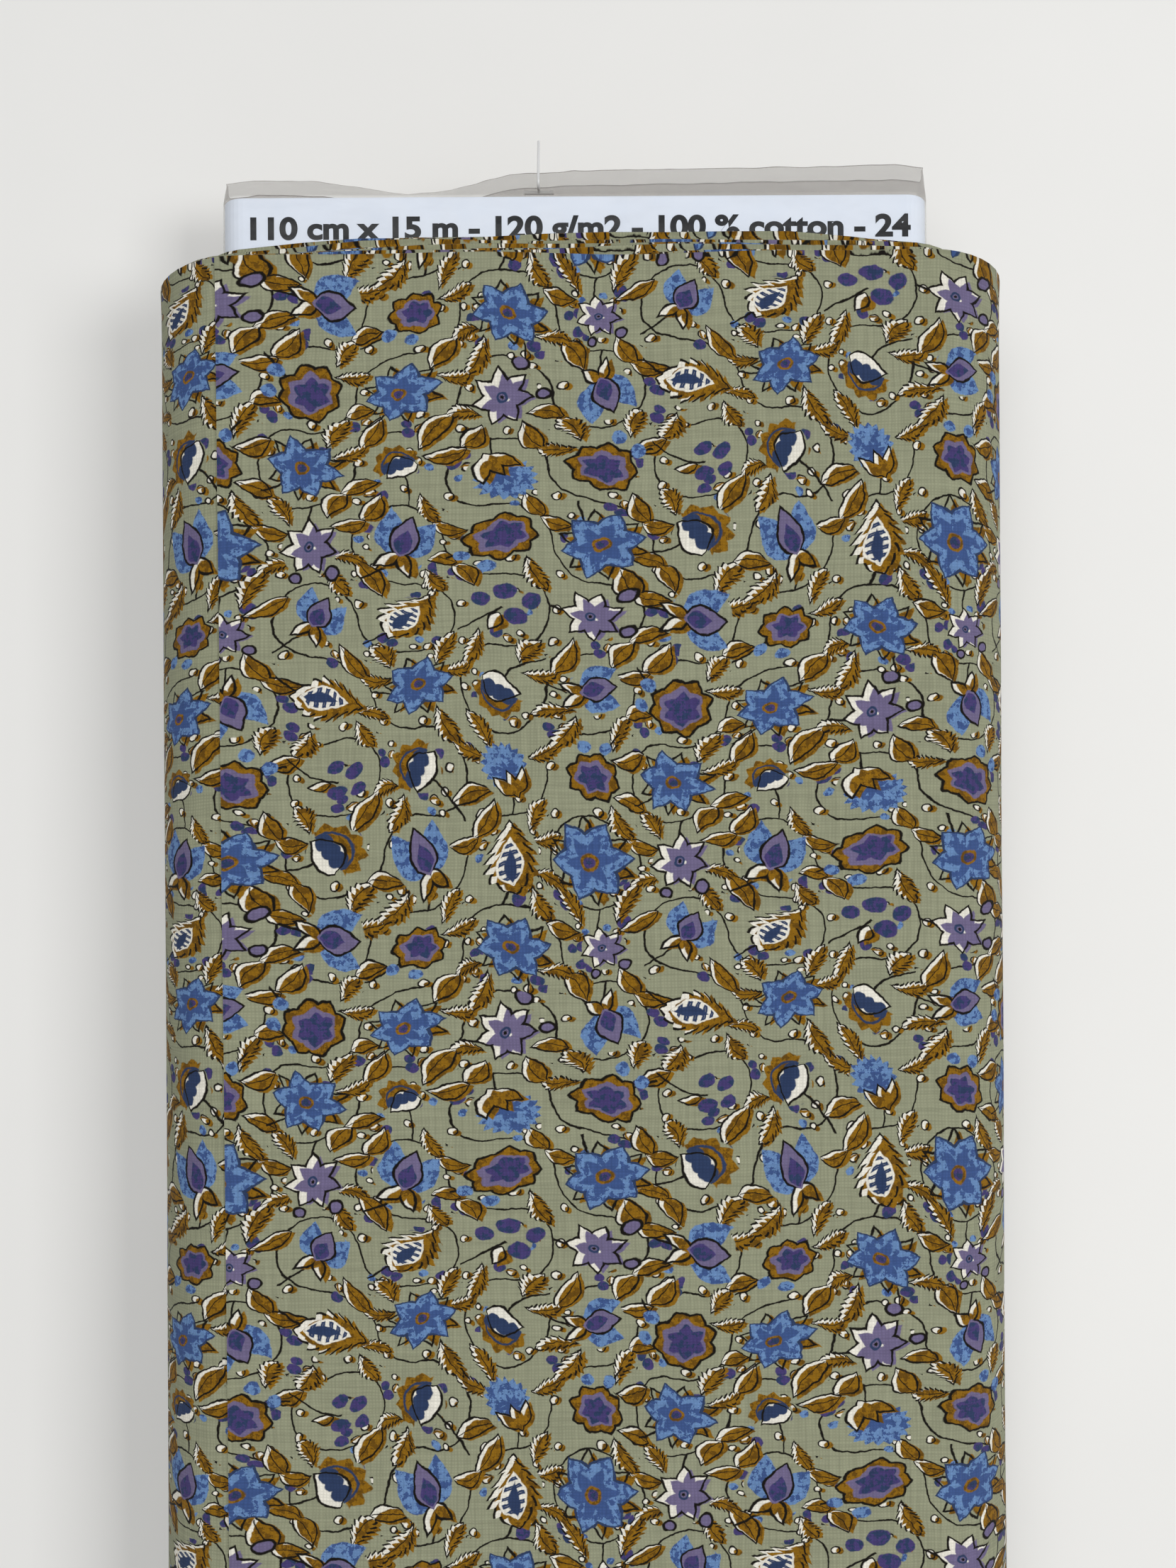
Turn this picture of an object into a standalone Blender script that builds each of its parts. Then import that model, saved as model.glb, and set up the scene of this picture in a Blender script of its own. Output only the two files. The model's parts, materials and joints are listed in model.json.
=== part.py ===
"""Flat bolt of folded cotton cloth: a board core, the wound cloth, its loose end, label, film and tag pin.

The bolt lies on its back: X across, +Y towards the end with the label, +Z up out of the front face.
"""
import math

import bmesh
import bpy

# Board core
core_width = 0.190
core_thick = 0.018
core_round = 0.006          # radius of the wrap's long edges
core_length = 0.597
core_proud = 0.0245         # core above the outermost fold edge
wrap_wall = 0.0006
panel_thick = 0.0054

# Wound cloth
cloth_height = 0.550        # width of the doubled cloth
roll_width = 0.226
roll_thick = 0.058
roll_round = 0.024          # radius of the roll's long edges
pack_steps = (0.0130, 0.0100, 0.0065, 0.0035, 0.0)   # each pack's fold edge above the outermost one
loose_thick = 0.0006        # doubled cloth
loose_edge_x = -0.092       # the loose end's edge at the fold, which runs on a slight slant
loose_slant = 0.003
loose_bend_x = 0.0          # line where the loose end drops
fold_x = 0.09015            # line where the loose end lifts

# Label, film and tag pin
label_wall = 0.0003
label_height = 0.062
label_return = 0.030        # how far the label turns onto the back
film_wall = 0.0003
film_proud = 0.036          # film above the outermost fold edge
film_length = 0.080
film_mouth = 0.35           # thickness of the film's pinched mouth, as a share of its tube's
tag_x = -0.0097             # tag pin, left of the middle
tag_proud = 0.0417          # tag pin's end above the outermost fold edge
tag_hole_proud = 0.0275
tag_droop = 0.0047          # how far the pin's end leans down towards the film
tag_radius = 0.00035
tag_bar_radius = 0.0005
tag_bar_length = 0.008

gap = 0.0003                # between pieces that touch
rim_round = 0.0005          # rounding of the cut and folded rims
arc_steps = 8               # segments in a quarter turn

# The origin is under the middle of the whole bolt
fold_y = (core_length - core_proud - tag_proud) / 2
mid_z = roll_thick / 2


def clear_scene():
    for thing in list(bpy.data.objects):
        bpy.data.objects.remove(thing, do_unlink=True)


def new_collection(name):
    made = bpy.data.collections.new(name)
    bpy.context.scene.collection.children.link(made)
    return made


def material(name, colour, roughness, metallic=0.0, alpha=1.0):
    made = bpy.data.materials.new(name)
    made.use_nodes = True
    shader = made.node_tree.nodes["Principled BSDF"]
    shader.inputs["Base Color"].default_value = (*colour, 1.0)
    shader.inputs["Roughness"].default_value = roughness
    shader.inputs["Metallic"].default_value = metallic
    shader.inputs["Alpha"].default_value = alpha
    return made


def place(thing, name, finish, group=None):
    """Name an object, give it its material and move it to its collection."""
    thing.name = name
    thing.data.name = name
    thing.data.materials.clear()
    thing.data.materials.append(finish)
    for old in list(thing.users_collection):
        old.objects.unlink(thing)
    (group or parts).objects.link(thing)
    return thing


def round_outline(half_width, half_thick, radius):
    """Points of a rectangle with round corners, anticlockwise."""
    points = []
    centres = ((1, 1), (-1, 1), (-1, -1), (1, -1))
    for quarter, (side, up) in enumerate(centres):
        for step in range(arc_steps + 1):
            angle = math.pi / 2 * (quarter + step / arc_steps)
            points.append((side * (half_width - radius) + radius * math.cos(angle),
                           up * (half_thick - radius) + radius * math.sin(angle)))
    return points


def prism(name, outlines, low_y, high_y, finish):
    """Closed outlines in X and Z, the second one a hole, drawn out from low_y to high_y."""
    curve = bpy.data.curves.new(name, "CURVE")
    curve.dimensions = "2D"
    curve.fill_mode = "BOTH"
    curve.extrude = (high_y - low_y) / 2
    for outline in outlines:
        spline = curve.splines.new("POLY")
        spline.points.add(len(outline) - 1)
        for point, (x, z) in zip(spline.points, outline):
            point.co = (x, z, 0, 1)
        spline.use_cyclic_u = True
    thing = bpy.data.objects.new(name, curve)
    thing.location = (0, (low_y + high_y) / 2, mid_z)
    thing.rotation_euler = (math.pi / 2, 0, 0)
    return place(thing, name, finish)


def to_mesh(thing):
    """Turn a curve object into a mesh object with its caps joined on."""
    bpy.context.view_layer.update()
    graph = bpy.context.evaluated_depsgraph_get()
    mesh = bpy.data.meshes.new_from_object(thing.evaluated_get(graph))
    work = bmesh.new()
    work.from_mesh(mesh)
    bmesh.ops.remove_doubles(work, verts=work.verts, dist=0.00001)
    work.to_mesh(mesh)
    work.free()
    made = bpy.data.objects.new(thing.name, mesh)
    made.matrix_world = thing.matrix_world.copy()
    group = thing.users_collection[0]
    name = thing.name
    finish = thing.data.materials[0]
    bpy.data.objects.remove(thing, do_unlink=True)
    return place(made, name, finish, group)


def smooth(thing, angle=math.radians(30)):
    thing.data.shade_smooth()
    thing.data.set_sharp_from_angle(angle=angle)


def round_rims(thing, width=rim_round, segments=2):
    bevel = thing.modifiers.new("rims", "BEVEL")
    bevel.width = width
    bevel.segments = segments
    bevel.limit_method = "ANGLE"
    bevel.angle_limit = math.radians(60)
    bevel.use_clamp_overlap = True


def cutter_box(name, low, high, finish):
    bpy.ops.mesh.primitive_cube_add(size=1, location=[(a + b) / 2 for a, b in zip(low, high)])
    thing = bpy.context.object
    thing.scale = [b - a for a, b in zip(low, high)]
    place(thing, name, finish, cutters)
    as_cutter(thing)
    return thing


def as_cutter(thing):
    thing.hide_render = True
    thing.display_type = "WIRE"


def combine(thing, other, operation):
    joint = thing.modifiers.new(operation.lower(), "BOOLEAN")
    joint.operation = operation
    joint.object = other
    joint.solver = "EXACT"


def box(name, low, high, finish):
    bpy.ops.mesh.primitive_cube_add(size=1, location=[(a + b) / 2 for a, b in zip(low, high)])
    thing = bpy.context.object
    thing.scale = [b - a for a, b in zip(low, high)]
    bpy.ops.object.transform_apply(location=False, rotation=False, scale=True)
    return place(thing, name, finish)


def core_size(layer_offset):
    """Half width, half thickness and edge radius at a distance out from the core's wrap."""
    return (core_width / 2 + layer_offset, core_thick / 2 + layer_offset, core_round + layer_offset)


def winding_size(share):
    """The same for the wound cloth, from its bore (0) to its outside (1)."""
    bore = core_size(bore_offset())
    outside = (roll_width / 2, roll_thick / 2, roll_round)
    return tuple(a + share * (b - a) for a, b in zip(bore, outside))


def bore_offset():
    """Room round the core for the label and the film, each with its gap."""
    return gap + label_wall + gap + film_wall + gap


def core_panels(finish):
    """Three corrugated panels, the middle one wide enough to reach into the wrap's round edges."""
    low_y = fold_y + core_proud - core_length
    high_y = fold_y + core_proud
    inner_half = core_thick / 2 - wrap_wall - gap
    middle_half = panel_thick / 2
    outer_reach = core_width / 2 - core_round
    middle_reach = core_width / 2 - wrap_wall - gap
    spans = (("core_back_panel", -inner_half, -middle_half - gap, outer_reach),
             ("core_middle_panel", -middle_half, middle_half, middle_reach),
             ("core_front_panel", middle_half + gap, inner_half, outer_reach))
    for name, low, high, reach in spans:
        panel = box(name, (-reach, low_y, mid_z + low), (reach, high_y, mid_z + high), finish)
        round_rims(panel, 0.0003, 1)


def core_wrap(finish):
    """Kraft paper glued round the panels as a flat tube with open ends."""
    outlines = (round_outline(*core_size(0)), round_outline(*core_size(-wrap_wall)))
    return prism("core_wrap", outlines, fold_y + core_proud - core_length, fold_y + core_proud, finish)


def label_band(finish):
    """A strip that runs over the front, round both edges and a little way onto the back."""
    half_width, half_thick, radius = core_size(gap)
    loop = round_outline(half_width, half_thick, radius)
    first = 3 * (arc_steps + 1)
    ends = half_width - radius - label_return
    path = [(ends, -half_thick)] + loop[first:] + loop[:first] + [(-ends, -half_thick)]
    work = bmesh.new()
    low_y = fold_y + core_proud - label_height
    corners = [work.verts.new((x, low_y, mid_z + z)) for x, z in path]
    edges = [work.edges.new(pair) for pair in zip(corners, corners[1:])]
    drawn = bmesh.ops.extrude_edge_only(work, edges=edges)["geom"]
    raised = [item for item in drawn if isinstance(item, bmesh.types.BMVert)]
    bmesh.ops.translate(work, verts=raised, vec=(0, label_height, 0))
    work.normal_update()
    for face in work.faces:
        middle = face.calc_center_median()
        if face.normal.x * middle.x + face.normal.z * (middle.z - mid_z) < 0:
            face.normal_flip()
    mesh = bpy.data.meshes.new("label_band")
    work.to_mesh(mesh)
    work.free()
    thing = place(bpy.data.objects.new("label_band", mesh), "label_band", finish)
    wall = thing.modifiers.new("wall", "SOLIDIFY")
    wall.thickness = label_wall
    wall.offset = 1
    smooth(thing)
    return thing


def film_pinch(y):
    """How much of the tube's thickness is left at a place along it: all on the core, less beyond its end."""
    start = fold_y + core_proud + gap
    share = max(0.0, (y - start) / (fold_y + film_proud - start))
    return 1 - share * (1 - film_mouth)


def film_front(y):
    """Height of the film's outer front face at a place along it."""
    return mid_z + (core_thick / 2 + gap + label_wall + gap + film_wall) * film_pinch(y)


def film_sleeve(finish):
    """A flat tube over the label, pinched towards its open mouth, with the hole for the tag pin."""
    inner = gap + label_wall + gap
    outlines = (round_outline(*core_size(inner + film_wall)), round_outline(*core_size(inner)))
    high_y = fold_y + film_proud
    film = to_mesh(prism("film_sleeve", outlines, high_y - film_length, high_y, finish))
    work = bmesh.new()
    work.from_mesh(film.data)
    work.transform(film.matrix_world)
    film.matrix_world.identity()
    everything = list(work.verts) + list(work.edges) + list(work.faces)
    core_end = (0, fold_y + core_proud + gap, 0)
    bmesh.ops.bisect_plane(work, geom=everything, plane_co=core_end, plane_no=(0, 1, 0))
    for corner in work.verts:
        corner.co.z = mid_z + (corner.co.z - mid_z) * film_pinch(corner.co.y)
    work.to_mesh(film.data)
    work.free()
    hole_y = fold_y + tag_hole_proud
    bpy.ops.mesh.primitive_cylinder_add(vertices=16, radius=tag_radius + 2 * gap, depth=0.003,
                                        location=(tag_x, hole_y, film_front(hole_y)))
    hole = place(bpy.context.object, "tag_hole", finish, cutters)
    as_cutter(hole)
    combine(film, hole, "DIFFERENCE")
    smooth(film)
    return film


def tag_pin(finish):
    """A bar inside the film, with a filament that comes out of the hole and turns up over the film."""
    hole_y = fold_y + tag_hole_proud
    front = film_front(hole_y)
    start = (tag_x, hole_y, front - 0.003)
    bend = 0.0015
    points = [start, (tag_x, hole_y, front)]
    for step in range(1, 7):
        angle = math.pi / 2 * step / 6
        points.append((tag_x, hole_y + bend * (1 - math.cos(angle)), front + bend * math.sin(angle)))
    points.append((tag_x, fold_y + tag_proud - tag_radius * 0.35, front + bend - tag_droop))
    curve = bpy.data.curves.new("tag_filament", "CURVE")
    curve.dimensions = "3D"
    curve.bevel_depth = tag_radius
    curve.bevel_resolution = 2
    curve.use_fill_caps = True
    spline = curve.splines.new("POLY")
    spline.points.add(len(points) - 1)
    for point, place_of in zip(spline.points, points):
        point.co = (*place_of, 1)
    filament = bpy.data.objects.new("tag_filament", curve)
    place(filament, "tag_filament", finish, cutters)
    filament = to_mesh(filament)
    as_cutter(filament)
    bpy.ops.mesh.primitive_cylinder_add(vertices=12, radius=tag_bar_radius, depth=tag_bar_length,
                                        location=start, rotation=(0, math.pi / 2, 0))
    bar = place(bpy.context.object, "tag_pin", finish)
    combine(bar, filament, "UNION")
    smooth(bar)
    return bar


def windings(finish):
    """Nested packs of turns, each slid a little further along the core than the one outside it."""
    count = len(pack_steps)
    for index, step in enumerate(pack_steps):
        inner = winding_size(index / count)
        outer = winding_size((index + 1) / count)
        if index < count - 1:
            outer = tuple(value - gap for value in outer)
        pack = prism(f"winding_{index + 1}", (round_outline(*outer), round_outline(*inner)),
                     fold_y + step - cloth_height, fold_y + step, finish)
        pack = to_mesh(pack)
        if index == count - 1:
            seat = cutter_box("loose_end_seat", (loose_edge_x - loose_slant, -core_length,
                                                 roll_thick - loose_thick - gap),
                              (fold_x + gap / 2, core_length, roll_thick + 0.01), finish)
            combine(pack, seat, "DIFFERENCE")
        round_rims(pack)
        smooth(pack)


def loose_end(finish):
    """The doubled cloth across the front: an inner half at the fold line and an outer half at the edge."""
    high_y = fold_y
    low_y = fold_y - cloth_height
    halves = (("loose_end_inner", fold_x, ((loose_bend_x + gap / 2, high_y), (fold_x - gap / 2, high_y),
                                           (fold_x - gap / 2, low_y), (loose_bend_x + gap / 2, low_y))),
              ("loose_end_outer", loose_bend_x, ((loose_edge_x, high_y), (loose_bend_x - gap / 2, high_y),
                                                 (loose_bend_x - gap / 2, low_y),
                                                 (loose_edge_x + loose_slant, low_y))))
    for name, pivot_x, corners in halves:
        curve = bpy.data.curves.new(name, "CURVE")
        curve.dimensions = "2D"
        curve.fill_mode = "BOTH"
        curve.extrude = loose_thick / 2
        spline = curve.splines.new("POLY")
        spline.points.add(len(corners) - 1)
        for point, (x, y) in zip(spline.points, corners):
            point.co = (x - pivot_x, y, -loose_thick / 2, 1)
        spline.use_cyclic_u = True
        panel = bpy.data.objects.new(name, curve)
        panel.location = (pivot_x, 0, roll_thick)
        place(panel, name, finish)


clear_scene()
parts = new_collection("fabric_bolt")
cutters = new_collection("cutters")
cloth = material("printed_cotton", (0.13, 0.12, 0.07), 0.85)
board = material("corrugated_board", (0.45, 0.31, 0.18), 0.9)
kraft = material("kraft_paper", (0.50, 0.36, 0.22), 0.8)
paper = material("label_paper", (0.78, 0.80, 0.86), 0.6)
film_clear = material("clear_film", (0.85, 0.86, 0.86), 0.15, alpha=0.35)
nylon = material("clear_nylon", (0.80, 0.80, 0.78), 0.3, alpha=0.6)
core_panels(board)
core_wrap(kraft)
label_band(paper)
film_sleeve(film_clear)
tag_pin(nylon)
windings(cloth)
loose_end(cloth)
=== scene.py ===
import json
import math

import bpy
import numpy as np
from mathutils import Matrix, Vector, noise


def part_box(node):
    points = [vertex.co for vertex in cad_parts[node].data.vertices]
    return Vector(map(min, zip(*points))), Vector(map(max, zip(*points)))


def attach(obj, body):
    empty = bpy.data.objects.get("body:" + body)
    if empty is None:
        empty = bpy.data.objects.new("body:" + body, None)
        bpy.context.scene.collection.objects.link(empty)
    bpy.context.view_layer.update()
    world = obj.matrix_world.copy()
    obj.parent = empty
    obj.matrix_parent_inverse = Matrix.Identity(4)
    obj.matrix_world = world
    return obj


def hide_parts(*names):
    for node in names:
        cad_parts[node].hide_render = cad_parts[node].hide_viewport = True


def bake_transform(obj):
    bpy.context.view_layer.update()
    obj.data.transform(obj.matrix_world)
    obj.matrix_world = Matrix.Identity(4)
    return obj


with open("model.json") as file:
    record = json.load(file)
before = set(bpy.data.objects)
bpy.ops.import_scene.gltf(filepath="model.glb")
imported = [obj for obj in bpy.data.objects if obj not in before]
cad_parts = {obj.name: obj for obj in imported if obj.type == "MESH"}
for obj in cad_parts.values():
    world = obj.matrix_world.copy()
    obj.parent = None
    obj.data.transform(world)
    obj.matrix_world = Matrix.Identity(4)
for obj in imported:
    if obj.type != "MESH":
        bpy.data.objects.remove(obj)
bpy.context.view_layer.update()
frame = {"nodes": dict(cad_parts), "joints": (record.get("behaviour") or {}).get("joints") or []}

coreLow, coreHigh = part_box("core_wrap")
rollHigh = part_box("winding_5")[1]
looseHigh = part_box("loose_end_outer")[1]
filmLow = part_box("film_sleeve")[0]
labelLow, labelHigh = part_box("label_band")
foldY = looseHigh.y                      # the outermost turn's fold edge
rollTop = looseHigh.z                    # the front of the bolt
midZ = rollTop / 2
print("frame loaded")


def linearColour(hexColour):
    # sRGB hex to the linear values that shaders take
    channels = [int(hexColour[at:at + 2], 16) / 255 for at in (1, 3, 5)]
    return [c / 12.92 if c <= 0.04045 else ((c + 0.055) / 1.055) ** 2.4 for c in channels] + [1.0]


def addNode(tree, kind, *given, **settings):
    # adds one node, such as "Math.ADD" or "TexNoise", with its inputs in order or in a dictionary
    kind, _, operation = kind.partition(".")
    node = tree.nodes.new("ShaderNode" + kind)
    if operation:
        node.operation = operation
    for name, value in settings.items():
        setattr(node, name, value)
    inputs = {}
    for value in given:
        inputs.update(value if isinstance(value, dict) else {len(inputs): value})
    for socket, value in inputs.items():
        if isinstance(value, bpy.types.Node):
            value = value.outputs[0]
        if isinstance(value, bpy.types.NodeSocket):
            tree.links.new(value, node.inputs[socket])
        else:
            node.inputs[socket].default_value = value
    return node


def newMaterial(name, roughness, **uniform):
    # a material with its Principled shader, and the values that are the same all over
    material = bpy.data.materials.new(name)
    material.use_nodes = True
    tree = material.node_tree
    shader = tree.nodes["Principled BSDF"]
    shader.inputs["Roughness"].default_value = roughness
    for socket, value in uniform.items():
        shader.inputs[socket.replace("_", " ")].default_value = value
    return material, tree, shader


def newGroup(name, inputs, outputs):
    # a node group with float, vector or colour sockets, given and handed out by name
    kinds = {"f": "NodeSocketFloat", "v": "NodeSocketVector", "c": "NodeSocketColor"}
    tree = bpy.data.node_groups.new(name, "ShaderNodeTree")
    for label, kind in inputs:
        tree.interface.new_socket(name=label, in_out="INPUT", socket_type=kinds[kind])
    for label, kind in outputs:
        tree.interface.new_socket(name=label, in_out="OUTPUT", socket_type=kinds[kind])
    return tree, tree.nodes.new("NodeGroupInput").outputs


def handOut(tree, **results):
    # ends a group: what each of its output sockets is given
    last = tree.nodes.new("NodeGroupOutput")
    for name, value in results.items():
        socket = value.outputs[0] if isinstance(value, bpy.types.Node) else value
        tree.links.new(socket, last.inputs[name])
    return tree


printDesign = {
    "columnWidth": 92.7,      # mm, one column of the half-drop repeat
    "repeatHeight": 159.2,    # mm
    "acrossCells": 4,         # flower places across a column
    "upCells": 8,             # and up a repeat
    "misfit": (1.05, -0.45),  # mm that the ochre screen sits off the key line
    "lineHalf": 0.24,         # mm, half the key line's width
    "ground": "#8f9178",
    "cream": "#e2ded1",
    "ochre": "#87600f",
    "ochreDeep": "#65460b",
    "keyLine": "#120e09",
    "blue": "#6484b0",
    "blueDeep": "#3b5283",
    "navy": "#2b3a5a",
    "purple": "#433a6b",
    "lavender": "#6b6282",
}


def leafGroup():
    # a leaf lying along X: Edge is the distance past its outline in mm, Along runs -1 to 1
    tree, given = newGroup("leafShape", [("Place", "v"), ("Length", "f"), ("Width", "f"),
                                         ("Bend", "f"), ("Teeth", "f"), ("Hide", "f")],
                           [("Edge", "f"), ("Along", "f"), ("Across", "f")])
    place = addNode(tree, "SeparateXYZ", given["Place"])
    half = addNode(tree, "Math.MULTIPLY", given["Length"], 0.5)
    ratio = addNode(tree, "Math.DIVIDE", place.outputs[0], half)
    along = addNode(tree, "Math.MINIMUM", ratio, 2.0)
    square = addNode(tree, "Math.MULTIPLY", along, along)
    full = addNode(tree, "Math.SUBTRACT", 1.0, square)
    bow = addNode(tree, "Math.MULTIPLY", given["Bend"], full)
    across = addNode(tree, "Math.SUBTRACT", place.outputs[1], bow)
    side = addNode(tree, "Math.ABSOLUTE", across)
    taper = addNode(tree, "Math.MULTIPLY_ADD", along, -0.32, 1.0)
    swell = addNode(tree, "Math.MULTIPLY", full, taper)
    step = addNode(tree, "Math.MULTIPLY", along, 3.5)
    phase = addNode(tree, "Math.FRACT", step)
    notch = addNode(tree, "Math.MULTIPLY", phase, given["Teeth"])
    kept = addNode(tree, "Math.SUBTRACT", 1.0, notch)
    breadth = addNode(tree, "Math.MULTIPLY", swell, kept)
    reach = addNode(tree, "Math.MULTIPLY", breadth, given["Width"])
    edge = addNode(tree, "Math.SUBTRACT", side, reach)
    hidden = addNode(tree, "Math.ADD", edge, given["Hide"])
    return handOut(tree, Edge=hidden, Along=along, Across=across)


def ringGroup():
    # repeats what lies along +X round the middle, Count times, the first one turned by Turn
    tree, given = newGroup("petalRing", [("Place", "v"), ("Count", "f"), ("Turn", "f")],
                           [("Place", "v"), ("Radius", "f"), ("Angle", "f")])
    place = addNode(tree, "SeparateXYZ", given["Place"])
    angle = addNode(tree, "Math.ARCTAN2", place.outputs[1], place.outputs[0])
    turned = addNode(tree, "Math.SUBTRACT", angle, given["Turn"])
    sector = addNode(tree, "Math.DIVIDE", 2 * math.pi, given["Count"])
    which = addNode(tree, "Math.DIVIDE", turned, sector)
    nearest = addNode(tree, "Math.ROUND", which)
    whole = addNode(tree, "Math.MULTIPLY", nearest, sector)
    folded = addNode(tree, "Math.SUBTRACT", turned, whole)
    radius = addNode(tree, "VectorMath.LENGTH", given["Place"])
    cosine = addNode(tree, "Math.COSINE", folded)
    sine = addNode(tree, "Math.SINE", folded)
    right = addNode(tree, "Math.MULTIPLY", radius.outputs["Value"], cosine)
    up = addNode(tree, "Math.MULTIPLY", radius.outputs["Value"], sine)
    joined = addNode(tree, "CombineXYZ", right, up)
    return handOut(tree, Place=joined, Radius=radius.outputs["Value"], Angle=folded)


def discGroup():
    tree, given = newGroup("disc", [("Place", "v"), ("Centre", "v"), ("Radius", "f"), ("Hide", "f")],
                           [("Edge", "f")])
    away = addNode(tree, "VectorMath.DISTANCE", given["Place"], given["Centre"])
    edge = addNode(tree, "Math.SUBTRACT", away.outputs["Value"], given["Radius"])
    hidden = addNode(tree, "Math.ADD", edge, given["Hide"])
    return handOut(tree, Edge=hidden)


def inkGroup():
    # lays ink where Edge is below 0
    tree, given = newGroup("ink", [("Cloth", "c"), ("Ink", "c"), ("Edge", "f")], [("Cloth", "c")])
    cover = addNode(tree, "MapRange", given["Edge"], 0.1, -0.1, 0.0, 1.0)
    mixed = addNode(tree, "Mix", cover, {6: given["Cloth"], 7: given["Ink"]},
                    data_type="RGBA")
    return handOut(tree, Cloth=mixed.outputs[2])


def lineGroup():
    # draws a line along the edge, Half wide to each side
    tree, given = newGroup("keyLine", [("Cloth", "c"), ("Ink", "c"), ("Edge", "f"), ("Half", "f")],
                           [("Cloth", "c")])
    side = addNode(tree, "Math.ABSOLUTE", given["Edge"])
    edge = addNode(tree, "Math.SUBTRACT", side, given["Half"])
    cover = addNode(tree, "MapRange", edge, 0.08, -0.08, 0.0, 1.0)
    mixed = addNode(tree, "Mix", cover, {6: given["Cloth"], 7: given["Ink"]},
                    data_type="RGBA")
    return handOut(tree, Cloth=mixed.outputs[2])


shapes = {"leaf": leafGroup(), "ring": ringGroup(), "disc": discGroup(), "ink": inkGroup(),
          "line": lineGroup()}


def layInk(tree, cloth, colour, edge, half=None):
    # ink inside an edge, or a line of that half width along it
    ink = linearColour(colour) if isinstance(colour, str) else colour
    inputs = {"Cloth": cloth, "Ink": ink, "Edge": edge}
    if half is None:
        return addNode(tree, "Group", inputs, node_tree=shapes["ink"])
    return addNode(tree, "Group", {**inputs, "Half": half}, node_tree=shapes["line"])


def cellGrid(tree, place, perCell, shift, seed):
    # splits the print into cells that repeat with the half drop: where in the cell, in mm, and its dice
    design = printDesign
    across = design["acrossCells"] * perCell
    up = design["upCells"] * perCell
    size = (design["columnWidth"] / across, design["repeatHeight"] / up, 1.0)
    even = math.sqrt(size[0] * size[1])
    scaled = addNode(tree, "VectorMath.DIVIDE", place, size)
    moved = addNode(tree, "VectorMath.ADD", scaled, (shift, shift, 0))
    whole = addNode(tree, "VectorMath.FLOOR", moved)
    middle = addNode(tree, "VectorMath.ADD", whole, (0.5, 0.5, 0))
    part = addNode(tree, "VectorMath.SUBTRACT", moved, middle)
    local = addNode(tree, "VectorMath.MULTIPLY", part, (even, even, 0))
    index = addNode(tree, "SeparateXYZ", whole)
    share = addNode(tree, "Math.DIVIDE", index.outputs[0], across)
    column = addNode(tree, "Math.FLOOR", share)
    within = addNode(tree, "Math.MULTIPLY_ADD", column, -across, index.outputs[0])
    dropped = addNode(tree, "Math.MULTIPLY_ADD", column, up / 2, index.outputs[1])
    row = addNode(tree, "Math.FLOORED_MODULO", dropped, up)
    key = addNode(tree, "CombineXYZ", within, row, seed)
    return local, key


def driftGroup():
    # mm on the cloth, bent a little in waves that keep the half-drop repeat
    tree, given = newGroup("drift", [("Place", "v")], [("Place", "v")])
    waves = ((2.3, 0, 1, 0.0, 0), (1.3, 1, -1, 1.1, 0), (0.8, 2, 2, 2.3, 0), (0.5, -3, 3, 0.4, 0),
             (2.0, -1, 1, 2.0, 1), (1.4, 0, 1, 4.1, 1), (0.9, 3, -2, 0.7, 1), (0.5, 2, 4, 3.3, 1))
    sums = [0.0, 0.0]
    for size, along, up, phase, axis in waves:
        wave = (2 * math.pi * (along + up / 2) / printDesign["columnWidth"],
                2 * math.pi * up / printDesign["repeatHeight"], 0)
        turn = addNode(tree, "VectorMath.DOT_PRODUCT", given[0], wave)
        shifted = addNode(tree, "Math.ADD", turn.outputs["Value"], phase)
        height = addNode(tree, "Math.SINE", shifted)
        sums[axis] = addNode(tree, "Math.MULTIPLY_ADD", height, size, sums[axis])
    drift = addNode(tree, "CombineXYZ", sums[0], sums[1])
    moved = addNode(tree, "VectorMath.ADD", given[0], drift)
    return handOut(tree, Place=moved)


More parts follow.
